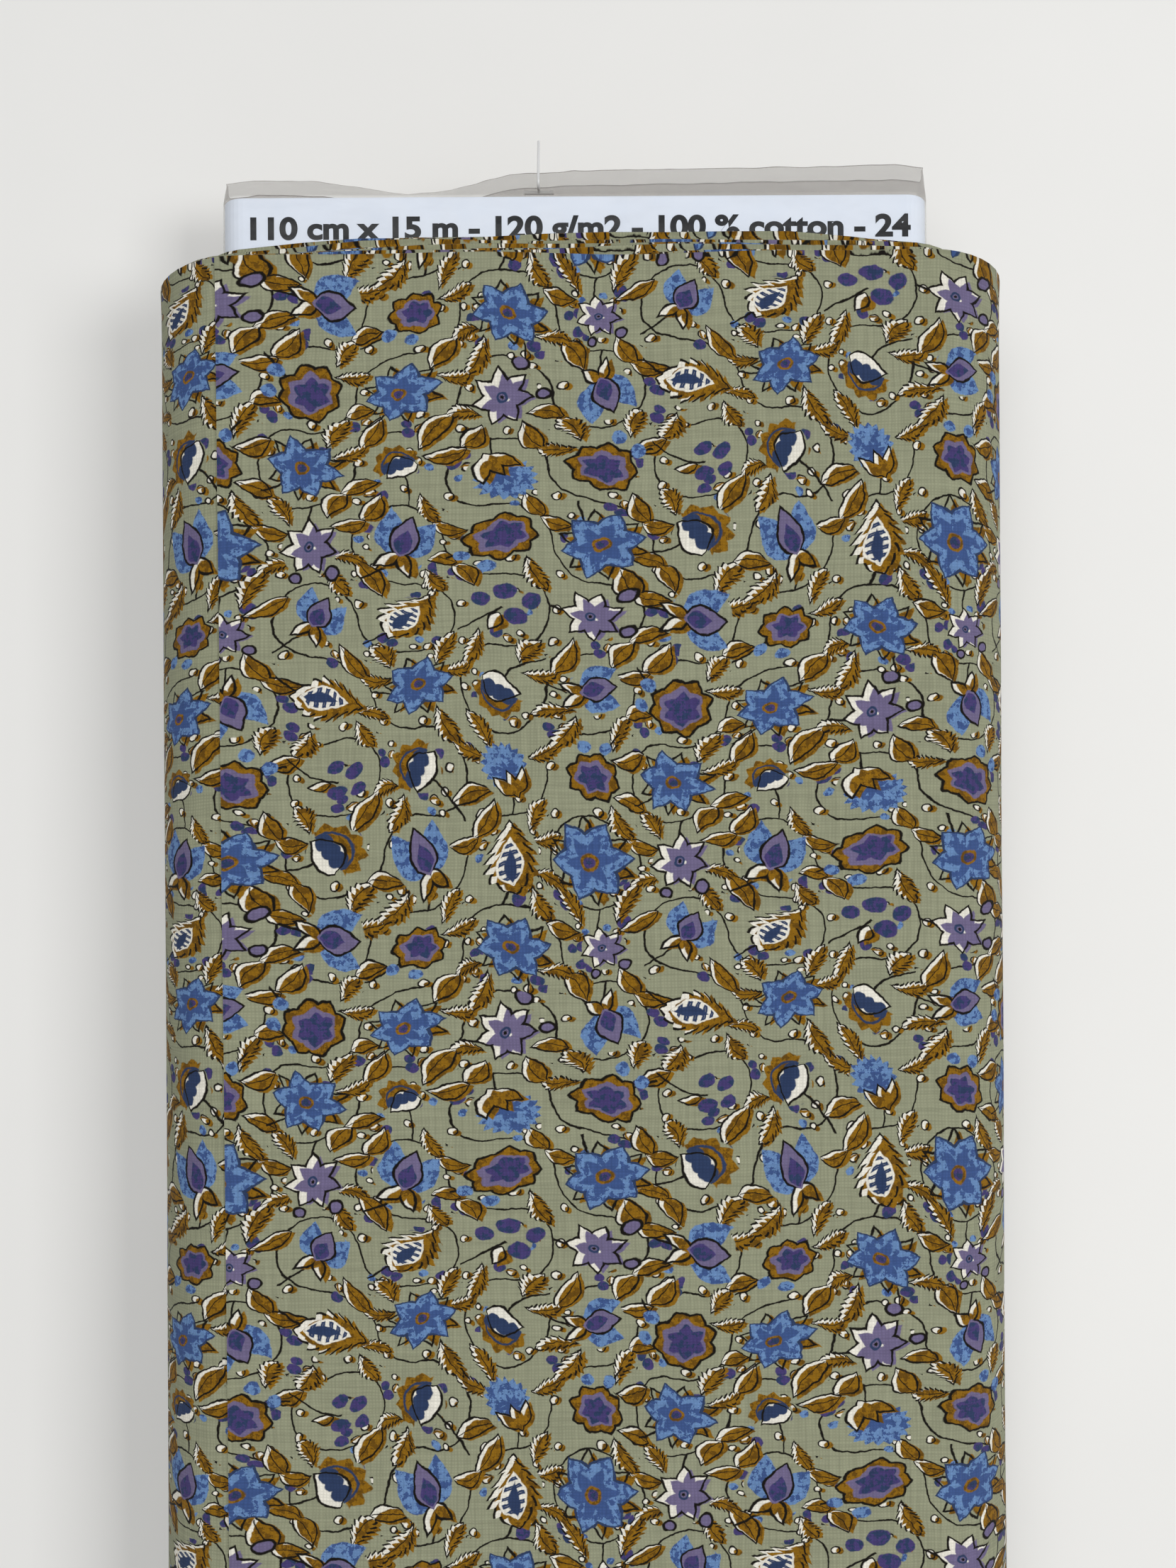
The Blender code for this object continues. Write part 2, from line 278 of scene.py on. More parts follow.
def vineGroup():
    # arcs that join from cell to cell into long stems, with leaves along them
    tree, given = newGroup("vines", [("Place", "v")],
                           [("Stem", "f"), ("Leaf", "f"), ("Vein", "f")])
    local, key = cellGrid(tree, given[0], 1, 0.0, 3.0)
    dice = addNode(tree, "TexWhiteNoise", key, noise_dimensions="3D")
    flip = addNode(tree, "Math.GREATER_THAN", dice.outputs["Value"], 0.5)
    sign = addNode(tree, "Math.MULTIPLY_ADD", flip, 2.0, -1.0)
    mirror = addNode(tree, "CombineXYZ", sign, 1.0, 1.0)
    flipped = addNode(tree, "VectorMath.MULTIPLY", local, mirror)
    lean = addNode(tree, "VectorMath.DOT_PRODUCT", flipped, (1, 1, 0))
    half = addNode(tree, "Math.SIGN", lean.outputs["Value"])
    back = addNode(tree, "Math.MULTIPLY", half, -1.0)
    near = addNode(tree, "VectorMath.SCALE", flipped, {"Scale": back})
    reach = math.sqrt(printDesign["columnWidth"] / printDesign["acrossCells"]
                      * printDesign["repeatHeight"] / printDesign["upCells"]) / 2
    spoke = addNode(tree, "VectorMath.DISTANCE", near, (-reach, -reach, 0))
    off = addNode(tree, "Math.SUBTRACT", spoke.outputs["Value"], reach)
    stem = addNode(tree, "Math.ABSOLUTE", off)
    turned = addNode(tree, "VectorRotate", {"Vector": near, "Angle": -math.pi / 4}, rotation_type="Z_AXIS")
    sideDice = addNode(tree, "TexWhiteNoise", key, half, noise_dimensions="4D")
    picks = addNode(tree, "SeparateColor", sideDice.outputs["Color"])
    # centre (outwards, along the stem), turn, length, half width, bend, its die, the share that grow, teeth
    leaves = (((-2.6, 2.4), 74, 9.8, 2.4, 0.9, 0, 0.8, 0.5), ((-2.9, -4.6), -60, 8.4, 2.0, -0.9, 1, 0.7, 0.6),
              ((2.6, -1.4), -28, 6.0, 1.25, 0.5, 2, 0.65, 2.0))
    edge = 50.0
    vein = 50.0
    for centre, angle, length, width, bend, die, grows, toothed in leaves:
        spot = addNode(tree, "Mapping", turned, (*centre, 0), (0, 0, math.radians(angle)),
                       vector_type="TEXTURE")
        absent = addNode(tree, "Math.GREATER_THAN", picks.outputs[die], grows)
        hide = addNode(tree, "Math.MULTIPLY", absent, 50.0)
        teeth = addNode(tree, "Math.GREATER_THAN", picks.outputs[(die + 1) % 3], toothed)
        depth = addNode(tree, "Math.MULTIPLY", teeth, 0.4)
        grown = addNode(tree, "Math.MULTIPLY_ADD", picks.outputs[(die + 2) % 3], 0.34 * length, 0.8 * length)
        leaf = addNode(tree, "Group", {"Place": spot, "Length": grown, "Width": width, "Bend": bend,
                                       "Teeth": depth, "Hide": hide}, node_tree=shapes["leaf"])
        edge = addNode(tree, "Math.MINIMUM", leaf.outputs["Edge"], edge)
        rib = addNode(tree, "Math.ABSOLUTE", leaf.outputs["Across"])
        inside = addNode(tree, "Math.ADD", leaf.outputs["Edge"], 0.55)
        kept = addNode(tree, "Math.MAXIMUM", rib, inside)
        vein = addNode(tree, "Math.MINIMUM", kept, vein)
    return handOut(tree, Stem=stem, Leaf=edge, Vein=vein)


def bloomGroup():
    # one bloom at each corner of the vine's cells, of eight kinds: each screen's distance past its edge in mm
    screens = ["Body", "Stalk", "Cream", "Ochre", "Blue", "Deep", "Purple", "Lavender", "Navy", "Pale",
               "Outline", "Fine"]
    tree, given = newGroup("blooms", [("Place", "v")], [(name, "f") for name in screens])
    local, key = cellGrid(tree, given[0], 1, 0.5, 11.0)
    dice = addNode(tree, "TexWhiteNoise", key, noise_dimensions="3D")
    picks = addNode(tree, "SeparateColor", dice.outputs["Color"])
    # a rising count along rows and columns, so that no two alike meet
    index = addNode(tree, "SeparateXYZ", key)
    slide = addNode(tree, "Math.MULTIPLY_ADD", index.outputs[1], 3.0, index.outputs[0])
    jump = addNode(tree, "Math.GREATER_THAN", picks.outputs[0], 0.5)
    jumped = addNode(tree, "Math.MULTIPLY_ADD", jump, 4.0, slide)
    kind = addNode(tree, "Math.FLOORED_MODULO", jumped, 8.0)
    shake = addNode(tree, "VectorMath.SUBTRACT", dice.outputs["Color"], (0.5, 0.5, 0.5))
    nudge = addNode(tree, "VectorMath.MULTIPLY", shake, (1.3, 1.3, 0))
    moved = addNode(tree, "VectorMath.SUBTRACT", local, nudge)
    angle = addNode(tree, "Math.MULTIPLY", picks.outputs[1], 2 * math.pi)
    turned = addNode(tree, "VectorRotate", {"Vector": moved, "Angle": angle}, rotation_type="Z_AXIS")
    size = addNode(tree, "Math.MULTIPLY_ADD", picks.outputs[2], 0.24, 0.66)
    place = addNode(tree, "VectorMath.SCALE", turned, {"Scale": size})
    misfit = addNode(tree, "VectorRotate", {"Vector": (*printDesign["misfit"], 0), "Angle": angle},
                     rotation_type="Z_AXIS")
    slipped = addNode(tree, "VectorMath.SUBTRACT", place, misfit)
    edges = {name: [] for name in screens}
    hides = []
    for number in range(8):
        same = addNode(tree, "Math.COMPARE", kind, float(number), 0.5)
        hides.append(addNode(tree, "Math.MULTIPLY_ADD", same, -90.0, 90.0))

    def petals(count, turn, centre, length, width, hide, where=None):
        ring = addNode(tree, "Group", {"Place": where or place, "Count": count, "Turn": turn},
                       node_tree=shapes["ring"])
        out = addNode(tree, "VectorMath.SUBTRACT", ring.outputs["Place"], (centre, 0, 0))
        return addNode(tree, "Group", {"Place": out, "Length": length, "Width": width, "Bend": 0.0,
                                       "Teeth": 0.0, "Hide": hide}, node_tree=shapes["leaf"])

    def leafAt(centre, turn, length, width, bend, hide, where=None, teeth=0.0):
        spot = addNode(tree, "Mapping", where or place, (*centre, 0), (0, 0, math.radians(turn)),
                       vector_type="TEXTURE")
        return addNode(tree, "Group", {"Place": spot, "Length": length, "Width": width, "Bend": bend,
                                       "Teeth": teeth, "Hide": hide}, node_tree=shapes["leaf"])

    def discAt(centre, radius, hide):
        return addNode(tree, "Group", {"Place": place, "Centre": (*centre, 0), "Radius": radius,
                                       "Hide": hide}, node_tree=shapes["disc"])

    def put(screen, *added):
        edges[screen].extend(added)

    def ragged(centre, radius, count, depth, hide):
        # a disc whose rim is cut into teeth
        out = addNode(tree, "VectorMath.SUBTRACT", place, (*centre, 0))
        ring = addNode(tree, "Group", {"Place": out, "Count": count, "Turn": 0.0}, node_tree=shapes["ring"])
        lobe = addNode(tree, "Math.ABSOLUTE", ring.outputs["Angle"])
        rim = addNode(tree, "Math.MULTIPLY_ADD", lobe, -depth * count / math.pi, radius)
        outside = addNode(tree, "Math.SUBTRACT", ring.outputs["Radius"], rim)
        return addNode(tree, "Math.ADD", outside, hide), ring

    def halo(centre, radius, hide):
        put("Body", discAt(centre, radius, hide))

    # 0: a star of blue petals over pointed sepals
    star = petals(6.0, 0.0, 3.6, 6.9, 2.3, hides[0])
    starOff = addNode(tree, "Math.SUBTRACT", 0.0, star)
    sepal = petals(6.0, 0.5236, 3.8, 7.0, 1.5, hides[0])
    sepalInk = petals(6.0, 0.5236, 3.8, 7.0, 1.5, hides[0], slipped)
    put("Blue", star)
    put("Deep", petals(6.0, 0.0, 2.3, 4.4, 1.0, hides[0]))
    put("Ochre", addNode(tree, "Math.MAXIMUM", sepalInk, starOff))
    put("Ochre", discAt((0, 0), 1.5, hides[0]))
    put("Outline", addNode(tree, "Math.MAXIMUM", sepal, starOff))
    put("Fine", star)
    put("Purple", discAt((0, 0), 0.95, hides[0]))
    halo((0, 0), 6.0, hides[0])

    # 1: a small daisy with cream edges, and two buds
    daisy = petals(7.0, 0.2, 2.7, 5.2, 1.5, hides[1])
    put("Pale", daisy, discAt((0, 0), 0.9, hides[1]))
    put("Lavender", petals(7.0, 0.2, 2.5, 4.6, 1.25, hides[1], slipped))
    put("Outline", daisy)
    put("Fine", discAt((0, 0), 0.8, hides[1]))
    for centre, radius in (((5.9, 3.4), 1.25), ((5.6, -3.7), 1.05)):
        put("Lavender", discAt(centre, radius, hides[1]))
        put("Outline", discAt(centre, radius, hides[1]))
    halo((0.6, 0), 5.2, hides[1])

    # 2: a ragged blue head in a calyx of pointed leaves
    head, _ = ragged((1.9, 0), 5.7, 17.0, 1.1, hides[2])
    core, _ = ragged((0.2, 0), 3.4, 9.0, 1.9, hides[2])
    put("Blue", head)
    put("Deep", core)
    for turn, centre in ((38, (-2.3, 1.9)), (-38, (-2.3, -1.9)), (0, (-2.6, 0))):
        calyx = leafAt(centre, turn, 6.8, 1.5, turn / 70, hides[2])
        put("Cream", calyx)
        put("Outline", calyx)
        put("Ochre", leafAt(centre, turn, 6.8, 1.5, turn / 70, hides[2], slipped))
    halo((0.6, 0), 6.4, hides[2])

    # 3: a broad toothed leaf with a pale heart and a ribbed middle
    broad = leafAt((0, 0), 0, 12.6, 4.3, 0.5, hides[3], None, 0.3)
    heart = leafAt((-0.8, 0.3), 0, 8.0, 2.3, 0.3, hides[3])
    seam = leafAt((-1.5, 0.3), 0, 5.6, 0.95, 0.3, hides[3])
    count = addNode(tree, "Math.MULTIPLY", heart.outputs["Along"], 3.0)
    comb = addNode(tree, "Math.PINGPONG", count, 0.5)
    tines = addNode(tree, "Math.MULTIPLY_ADD", comb, 1.6, -0.2)
    within = addNode(tree, "Math.ADD", heart.outputs["Edge"], 0.6)
    put("Cream", broad)
    put("Ochre", leafAt((0, 0), 0, 12.6, 4.3, 0.5, hides[3], slipped, 0.3))
    put("Pale", heart)
    put("Outline", broad)
    put("Fine", addNode(tree, "Math.MAXIMUM", tines, within))
    put("Navy", seam)
    halo((0, 0), 5.0, hides[3])

    # 4: berries on short stalks
    for centre, radius in (((3.0, 2.2), 1.75), ((-0.9, 3.6), 1.6), ((0.5, -2.6), 1.8), ((4.4, -2.0), 1.5)):
        put("Purple", discAt(centre, radius, hides[4]))
    bud = leafAt((-3.2, -1.2), 200, 4.4, 1.2, 0.3, hides[4])
    put("Cream", bud)
    put("Ochre", leafAt((-3.2, -1.2), 200, 4.4, 1.2, 0.3, hides[4], slipped))
    put("Outline", bud)
    halo((0.8, 0), 3.6, hides[4])

    # 5: a scalloped cup with dark lobes and a pale rim
    cup, cupRing = ragged((0, 0), 5.9, 11.0, 1.0, hides[5])
    front = addNode(tree, "SeparateXYZ", place)
    cut = addNode(tree, "Math.MULTIPLY_ADD", front.outputs[0], -1.0, 0.2)
    cupHalf = addNode(tree, "Math.MAXIMUM", cup, cut)
    put("Ochre", cupHalf)
    arcs = addNode(tree, "Math.ADD", cupRing.outputs["Radius"], -3.9)
    arcSide = addNode(tree, "Math.ABSOLUTE", arcs)
    put("Fine", addNode(tree, "Math.MAXIMUM", arcSide, cupHalf))
    pale = leafAt((-1.0, 0), 90, 8.4, 2.6, -0.9, hides[5])
    put("Pale", pale)
    put("Outline", pale)
    for across in (-2.1, 0.1, 2.2):
        put("Navy", discAt((0.6, across), 1.6, hides[5]))
    halo((1, 0), 4.8, hides[5])

    # 6: a tulip of broad blue petals with a purple heart
    for centre, turn in (((1.6, 2.3), 24), ((1.6, -2.3), -24)):
        put("Blue", leafAt(centre, turn, 8.8, 2.5, turn / 60, hides[6]))
    inner = leafAt((1.4, 0), 0, 7.6, 2.4, 0.0, hides[6])
    put("Lavender", inner)
    put("Purple", leafAt((0.4, 0), 0, 4.6, 1.5, 0.0, hides[6]))
    put("Outline", inner)
    for centre, turn in (((-3.6, 1.3), 148), ((-3.6, -1.3), 212)):
        tip = leafAt(centre, turn, 4.8, 1.1, 0.0, hides[6])
        put("Cream", tip)
        put("Ochre", leafAt(centre, turn, 4.8, 1.1, 0.0, hides[6], slipped))
        put("Outline", tip)
    halo((0.8, 0), 5.4, hides[6])

    # 7: a dark round head crowded with ochre
    plum, _ = ragged((0.3, 0), 4.9, 8.0, 0.9, hides[7])
    put("Ochre", plum)
    put("Outline", plum)
    put("Lavender", ragged((0.3, 0), 3.6, 6.0, 0.8, hides[7])[0])
    put("Purple", ragged((0.6, 0), 2.9, 6.0, 0.9, hides[7])[0])
    for centre in ((-5.8, 0.9), (-5.0, -3.1)):
        put("Blue", discAt(centre, 1.2, hides[7]))
    halo((0, 0), 4.6, hides[7])

    # a stalk from each bloom to the vine round it
    spread = addNode(tree, "SeparateXYZ", place)
    bow = addNode(tree, "Math.MULTIPLY", spread.outputs[0], spread.outputs[0])
    bent = addNode(tree, "Math.MULTIPLY_ADD", bow, -0.04, spread.outputs[1])
    stalkSide = addNode(tree, "Math.ABSOLUTE", bent)
    put("Stalk", addNode(tree, "Math.MAXIMUM", stalkSide, spread.outputs[0]))

    closest = {}
    for name in screens:
        nearest = edges[name][0]
        for edge in edges[name][1:]:
            nearest = addNode(tree, "Math.MINIMUM", edge, nearest)
        closest[name] = nearest
    return handOut(tree, **closest)


def fillerGroup():
    # the small things between the stems: ringed dots, berries and short dashes
    screens = ["Dot", "Ochre", "Berry", "Bead", "Dash"]
    tree, given = newGroup("fillers", [("Place", "v")], [(name, "f") for name in screens])
    local, key = cellGrid(tree, given[0], 2, 0.25, 23.0)
    dice = addNode(tree, "TexWhiteNoise", key, noise_dimensions="3D")
    picks = addNode(tree, "SeparateColor", dice.outputs["Color"])
    shake = addNode(tree, "VectorMath.SUBTRACT", dice.outputs["Color"], (0.5, 0.5, 0.5))
    nudge = addNode(tree, "VectorMath.MULTIPLY", shake, (4.2, 4.2, 0))
    moved = addNode(tree, "VectorMath.SUBTRACT", local, nudge)
    angle = addNode(tree, "Math.MULTIPLY", picks.outputs[2], 6.28)
    place = addNode(tree, "VectorRotate", {"Vector": moved, "Angle": angle}, rotation_type="Z_AXIS")
    hides = []
    for low in (0.0, 0.42, 0.62, 0.78):
        away = addNode(tree, "Math.LESS_THAN", dice.outputs["Value"], low)
        hides.append(addNode(tree, "Math.MULTIPLY", away, 50.0))

    def discAt(where, centre, radius, hide):
        return addNode(tree, "Group", {"Place": where, "Centre": (*centre, 0), "Radius": radius,
                                       "Hide": hide}, node_tree=shapes["disc"])

    misfit = printDesign["misfit"]
    turnedMisfit = addNode(tree, "VectorRotate", {"Vector": (*misfit, 0), "Angle": angle},
                           rotation_type="Z_AXIS")
    slipped = addNode(tree, "VectorMath.SUBTRACT", place, turnedMisfit)
    dots = [((0, 0), 1.05), ((2.9, 1.7), 0.85), ((1.0, -3.0), 0.75)]
    beads = {}
    for name, where, grow in (("Dot", place, 0.0), ("Ochre", slipped, -0.1)):
        near = None
        for number, (centre, radius) in enumerate(dots):
            dot = discAt(where, centre, radius + grow, hides[number])
            near = dot if near is None else addNode(tree, "Math.MINIMUM", dot, near)
        beads[name] = near
    berry = discAt(place, (-2.6, 1.4), 1.5, hides[1])
    second = discAt(place, (-0.6, 3.1), 1.25, hides[2])
    berries = addNode(tree, "Math.MINIMUM", berry, second)
    bead = discAt(place, (-1.5, -2.6), 1.05, hides[2])
    dash = addNode(tree, "Group", {"Place": place, "Length": 3.2, "Width": 0.28, "Bend": 0.5, "Teeth": 0.0,
                                   "Hide": hides[1]}, node_tree=shapes["leaf"])
    return handOut(tree, **beads, Berry=berries, Bead=bead, Dash=dash)


shapes["drift"] = driftGroup()
shapes["vines"] = vineGroup()
shapes["blooms"] = bloomGroup()
shapes["fillers"] = fillerGroup()
print("print screens drawn")


weave = {
    "warpPitch": 0.85,        # mm; real threads lie about 0.35 x 0.30 mm apart, too fine to show with the
    "weftPitch": 0.75,        # whole bolt in view, so they are drawn coarser
    "depth": 0.00009,         # m, how deep the bump shades
    "selvage": 0.009,         # m, the unprinted strip along each edge of the cloth
}


def weaveNodes(tree, metres):
    # plain weave: how light each thread is, with painted shade in the dips between the threads, and its
    # height
    threads = addNode(tree, "VectorMath.MULTIPLY", metres,
                      (1000 / weave["warpPitch"], 1000 / weave["weftPitch"], 1))
    slub = addNode(tree, "TexNoise", {"Vector": threads, "Scale": 0.09, "Detail": 2.0, "Roughness": 0.6},
                   noise_dimensions="2D")
    swing = addNode(tree, "VectorMath.SCALE", slub.outputs["Color"], {"Scale": 1.3})
    loose = addNode(tree, "VectorMath.ADD", threads, swing)
    parts = addNode(tree, "SeparateXYZ", loose)
    waves = []
    for axis in (0, 1):
        angle = addNode(tree, "Math.MULTIPLY", parts.outputs[axis], math.pi)
        waves.append(addNode(tree, "Math.SINE", angle))
    cross = addNode(tree, "Math.MULTIPLY", waves[0], waves[1])
    height = addNode(tree, "Math.ABSOLUTE", cross)
    # single threads run a little thicker or darker for a centimetre or two
    ply = []
    for stretch in ((0.9, 0.045, 1), (0.045, 0.9, 1)):
        long = addNode(tree, "VectorMath.MULTIPLY", threads, stretch)
        ply.append(addNode(tree, "TexNoise", {"Vector": long, "Scale": 1.0, "Detail": 1.0},
                           noise_dimensions="2D"))
    streak = addNode(tree, "Math.ADD", ply[0], ply[1])
    tone = addNode(tree, "MapRange", streak, 0.7, 1.3, 0.9, 1.08)
    # painted shade: the colour is darker where the threads dip and lighter on their crests
    light = addNode(tree, "Math.MULTIPLY_ADD", height, 0.16, 0.9)
    both = addNode(tree, "Math.MULTIPLY", tone, light)
    return both, height


def printedCotton():
    # printed poplin: the floral colours over the sage ground, each thread shading the ink a little
    design = printDesign
    material, tree, shader = newMaterial("cottonPoplinRotaryPrintedFace", 0.82, Specular_IOR_Level=0.12,
                                         Sheen_Weight=0.04, Sheen_Roughness=0.5)
    metres = addNode(tree, "UVMap", uv_map="clothMetres")
    flat = addNode(tree, "VectorMath.SCALE", metres, {"Scale": 1000.0})
    drifted = addNode(tree, "Group", {"Place": flat}, node_tree=shapes["drift"])
    # the hand that cut the screens, and the ink that creeps along the threads
    hand = addNode(tree, "TexNoise", {"Vector": flat, "Scale": 0.33, "Detail": 3.0, "Roughness": 0.5},
                   noise_dimensions="2D")
    centred = addNode(tree, "VectorMath.SUBTRACT", hand.outputs["Color"], (0.5, 0.5, 0.5))
    shaken = addNode(tree, "VectorMath.MULTIPLY", centred, (1.1, 1.1, 0))
    place = addNode(tree, "VectorMath.ADD", drifted, shaken)
    slipped = addNode(tree, "VectorMath.SUBTRACT", place, (*design["misfit"], 0))
    vines = addNode(tree, "Group", {"Place": place}, node_tree=shapes["vines"])
    ochreVines = addNode(tree, "Group", {"Place": slipped}, node_tree=shapes["vines"])
    blooms = addNode(tree, "Group", {"Place": place}, node_tree=shapes["blooms"])
    fillers = addNode(tree, "Group", {"Place": place}, node_tree=shapes["fillers"])
    # brush strokes inside the flat colours
    brush = addNode(tree, "TexNoise", {"Vector": flat, "Scale": 0.5, "Detail": 3.0, "Roughness": 0.7},
                    noise_dimensions="2D")
    stroke = addNode(tree, "MapRange", brush, 0.5, 0.54, 0.0, 1.0)
    inks = {}
    for name, light, deep in (("ochre", "ochre", "ochreDeep"), ("blue", "blue", "blueDeep"),
                              ("purple", "purple", "navy")):
        inks[name] = addNode(tree, "Mix", stroke,
                             {6: linearColour(design[light]), 7: linearColour(design[deep])},
                             data_type="RGBA").outputs[2]
    # in the order that they are laid: ink, screen, and the half width where it is a line
    line = design["lineHalf"]
    layers = (("keyLine", vines, "Stem", line), ("cream", fillers, "Dot", None),
              ("ochre", fillers, "Ochre", None), ("keyLine", fillers, "Dot", line * 0.8),
              ("purple", fillers, "Berry", None), ("blue", fillers, "Bead", None),
              ("ochre", fillers, "Dash", None), ("cream", vines, "Leaf", None),
              ("ochre", ochreVines, "Leaf", None), ("keyLine", vines, "Leaf", line),
              ("keyLine", vines, "Vein", line * 0.5), ("ground", blooms, "Body", None),
              ("keyLine", blooms, "Stalk", line), ("blue", blooms, "Blue", None),
              ("blueDeep", blooms, "Deep", None), ("cream", blooms, "Cream", None),
              ("ochre", blooms, "Ochre", None), ("cream", blooms, "Pale", None),
              ("lavender", blooms, "Lavender", None), ("purple", blooms, "Purple", None),
              ("navy", blooms, "Navy", None), ("keyLine", blooms, "Outline", line),
              ("navy", blooms, "Fine", line * 0.9))
    cloth = linearColour(design["ground"])
    for ink, screen, name, half in layers:
        cloth = layInk(tree, cloth, inks.get(ink, design[ink]), screen.outputs[name], half)
    # the strip along each edge of the cloth isn't printed
    across = addNode(tree, "SeparateXYZ", metres)
    fromEdge = addNode(tree, "Math.PINGPONG", across.outputs[1], 0.55)
    selvage = addNode(tree, "Math.SUBTRACT", fromEdge, weave["selvage"])
    selvageMm = addNode(tree, "Math.MULTIPLY", selvage, 1000.0)
    cloth = layInk(tree, cloth, design["cream"], selvageMm)
    tone, height = weaveNodes(tree, metres)
    shaded = addNode(tree, "VectorMath.SCALE", cloth, {"Scale": tone})
    bump = addNode(tree, "Bump", {"Height": height, "Distance": weave["depth"], "Strength": 0.6})
    tree.links.new(shaded.outputs[0], shader.inputs["Base Color"])
    tree.links.new(bump.outputs[0], shader.inputs["Normal"])
    return material


def plainCotton(name, lightColour, deepColour, roughness):
    # the same poplin where no ink was laid: two close tones thread by thread
    material, tree, shader = newMaterial(name, roughness, Specular_IOR_Level=0.2, Sheen_Weight=0.1)
    metres = addNode(tree, "UVMap", uv_map="clothMetres")
    tone, height = weaveNodes(tree, metres)
    blotch = addNode(tree, "TexNoise", {"Vector": metres, "Scale": 110.0, "Detail": 3.0},
                     noise_dimensions="2D")
    dyed = addNode(tree, "Mix", blotch, {6: linearColour(lightColour), 7: linearColour(deepColour)},
                   data_type="RGBA")
    shaded = addNode(tree, "VectorMath.SCALE", dyed.outputs[2], {"Scale": tone})
    bump = addNode(tree, "Bump", {"Height": height, "Distance": weave["depth"], "Strength": 0.7})
    tree.links.new(shaded.outputs[0], shader.inputs["Base Color"])
    tree.links.new(bump.outputs[0], shader.inputs["Normal"])
    return material


clothFace = printedCotton()
# the wrong side: the ground dye seen through, paler; the print, which shows there only as a shadow, isn't
# drawn
clothBack = plainCotton("cottonPoplinWrongSidePieceDyed", "#aaab97", "#8f917e", 0.88)
# the cut edge: short pale thread ends
clothEdge = plainCotton("cottonPoplinCutEdgeThreadEnds", "#b5b4a2", "#8d8d7a", 0.92)
print("cloth materials made")


bolt = {
    "turns": 32,              # times the doubled cloth goes round the board
    "plyThick": 0.00022,      # m
    "plyApart": 0.00026,      # m, between the two plies
    "clothWidth": 1.10,       # m, folded in two
    "boreGap": 0.0016,        # m, from the board to the innermost turn, with the label and film between
    "boreRound": 0.0075,      # m, corner of the innermost turn
    "outerRound": 0.024,      # m, corner of the outermost turn
    "packEnds": (6.6, 13.6, 19.6, 25.6),              # turns at which the next fold edge shows
    "packRise": (0.0, 0.0032, 0.0058, 0.0087, 0.0118),    # m, how far each pack's fold stands up
    "packTurns": 0.22,        # turns in which the fold climbs from one pack to the next
    "riseKept": 0.72,         # share of that which is left at the corners, where the cloth is pulled tight
    "riseSinks": (0.045, 0.055),         # m, how far from the middle it begins to sink, and over how far
    "cornerDip": 0.0015,      # m, how far every fold sinks where it goes round the sides
    "dipSinks": (0.084, 0.028),          # m, where that begins, and over how far
    "foldTilt": 0.0007,       # m, how much lower the fold is on the left than on the right
    "foldWaves": ((0.00045, 41.0, 0.0), (0.0003, 97.0, 1.3)),    # m high, radians per metre, and phase
    "crown": 0.0008,          # m, how far the front swells
    "crownHalf": 0.105,       # m, half the width of the swell
    "ripple": 0.00035,        # m, soft unevenness of the wound cloth
    "backRipple": 0.15,       # share of it on the back, which lies flat on the floor
    "foldPuff": 0.00028,      # m, how open the fold is
    "foldCloses": 0.004,      # m below the fold, by which it is mostly closed
    "foldHalf": 0.0008,       # m of cloth from the fold edge to the first row
    "cutSlant": (0.003, 0.015),          # m that the free edge is out of square, and how far that reaches
    "shift": 0.0012,          # m, how much thicker the winding lies on the right of the board
    "seamX": 0.045,           # m across the front, where one loose piece ends and the next begins
    "bendX": 0.096,           # m, where the loose end leaves the roll
    "liftSoftTo": 0.0835,     # m across the front, as far as the cloth bends with the loose end's hinge
    "dropSoftTo": -0.012,     # and with the hinge of its outer flap
    "splits": (1.45, 12.0, 22.0, 32.0),  # turns at which the winding is cut into pieces
}


def turnLayout():
    # where the knots of one turn lie, from the front's left end round to it again
    halfWide = rollHigh.x - bolt["plyThick"] / 2 - bolt["plyApart"] / 2
    halfDeep = midZ - bolt["plyThick"] / 2 - bolt["plyApart"] / 2
    flat = 2 * (halfWide - bolt["outerRound"])
    side = 2 * (halfDeep - bolt["outerRound"])
    arc = math.pi / 2 * bolt["outerRound"]
    lengths = np.cumsum([0, flat, arc, side, arc, flat, arc, side, arc])
    return halfWide, halfDeep, lengths / lengths[-1]


def windingPath(turns):
    # middle line between the two plies, at these turns from the free edge
    halfWide, halfDeep, knots = turnLayout()
    share = 1 - turns / bolt["turns"]
    boreWide = coreHigh.x + bolt["boreGap"]
    boreDeep = (coreHigh.z - coreLow.z) / 2 + bolt["boreGap"]
    wide = boreWide + (halfWide - boreWide) * share
    deep = boreDeep + (halfDeep - boreDeep) * share
    bend = bolt["boreRound"] + (bolt["outerRound"] - bolt["boreRound"]) * share
    phase = turns % 1.0
    angle = np.radians(np.interp(phase, knots, [90, 90, 0, 0, -90, -90, -180, -180, -270]))
    centreX = np.interp(phase, knots, [-1, 1, 1, 1, 1, -1, -1, -1, -1])
    centreZ = np.interp(phase, knots, [1, 1, 1, -1, -1, -1, -1, 1, 1])
    x = centreX * (wide - bend) + bend * np.cos(angle) + bolt["shift"] * share
    z = centreZ * (deep - bend) + bend * np.sin(angle)
    return x, z, np.cos(angle), np.sin(angle), share


def turnTable():
    # turns against metres of cloth from the free edge
    turns = np.linspace(0, bolt["turns"], bolt["turns"] * 720 + 1)
    x, z, _, _, _ = windingPath(turns)
    metres = np.concatenate([[0], np.cumsum(np.hypot(np.diff(x), np.diff(z)))])
    return turns, metres


tableTurns, tableMetres = turnTable()
print("cloth length", round(float(tableMetres[-1]), 2), "m")


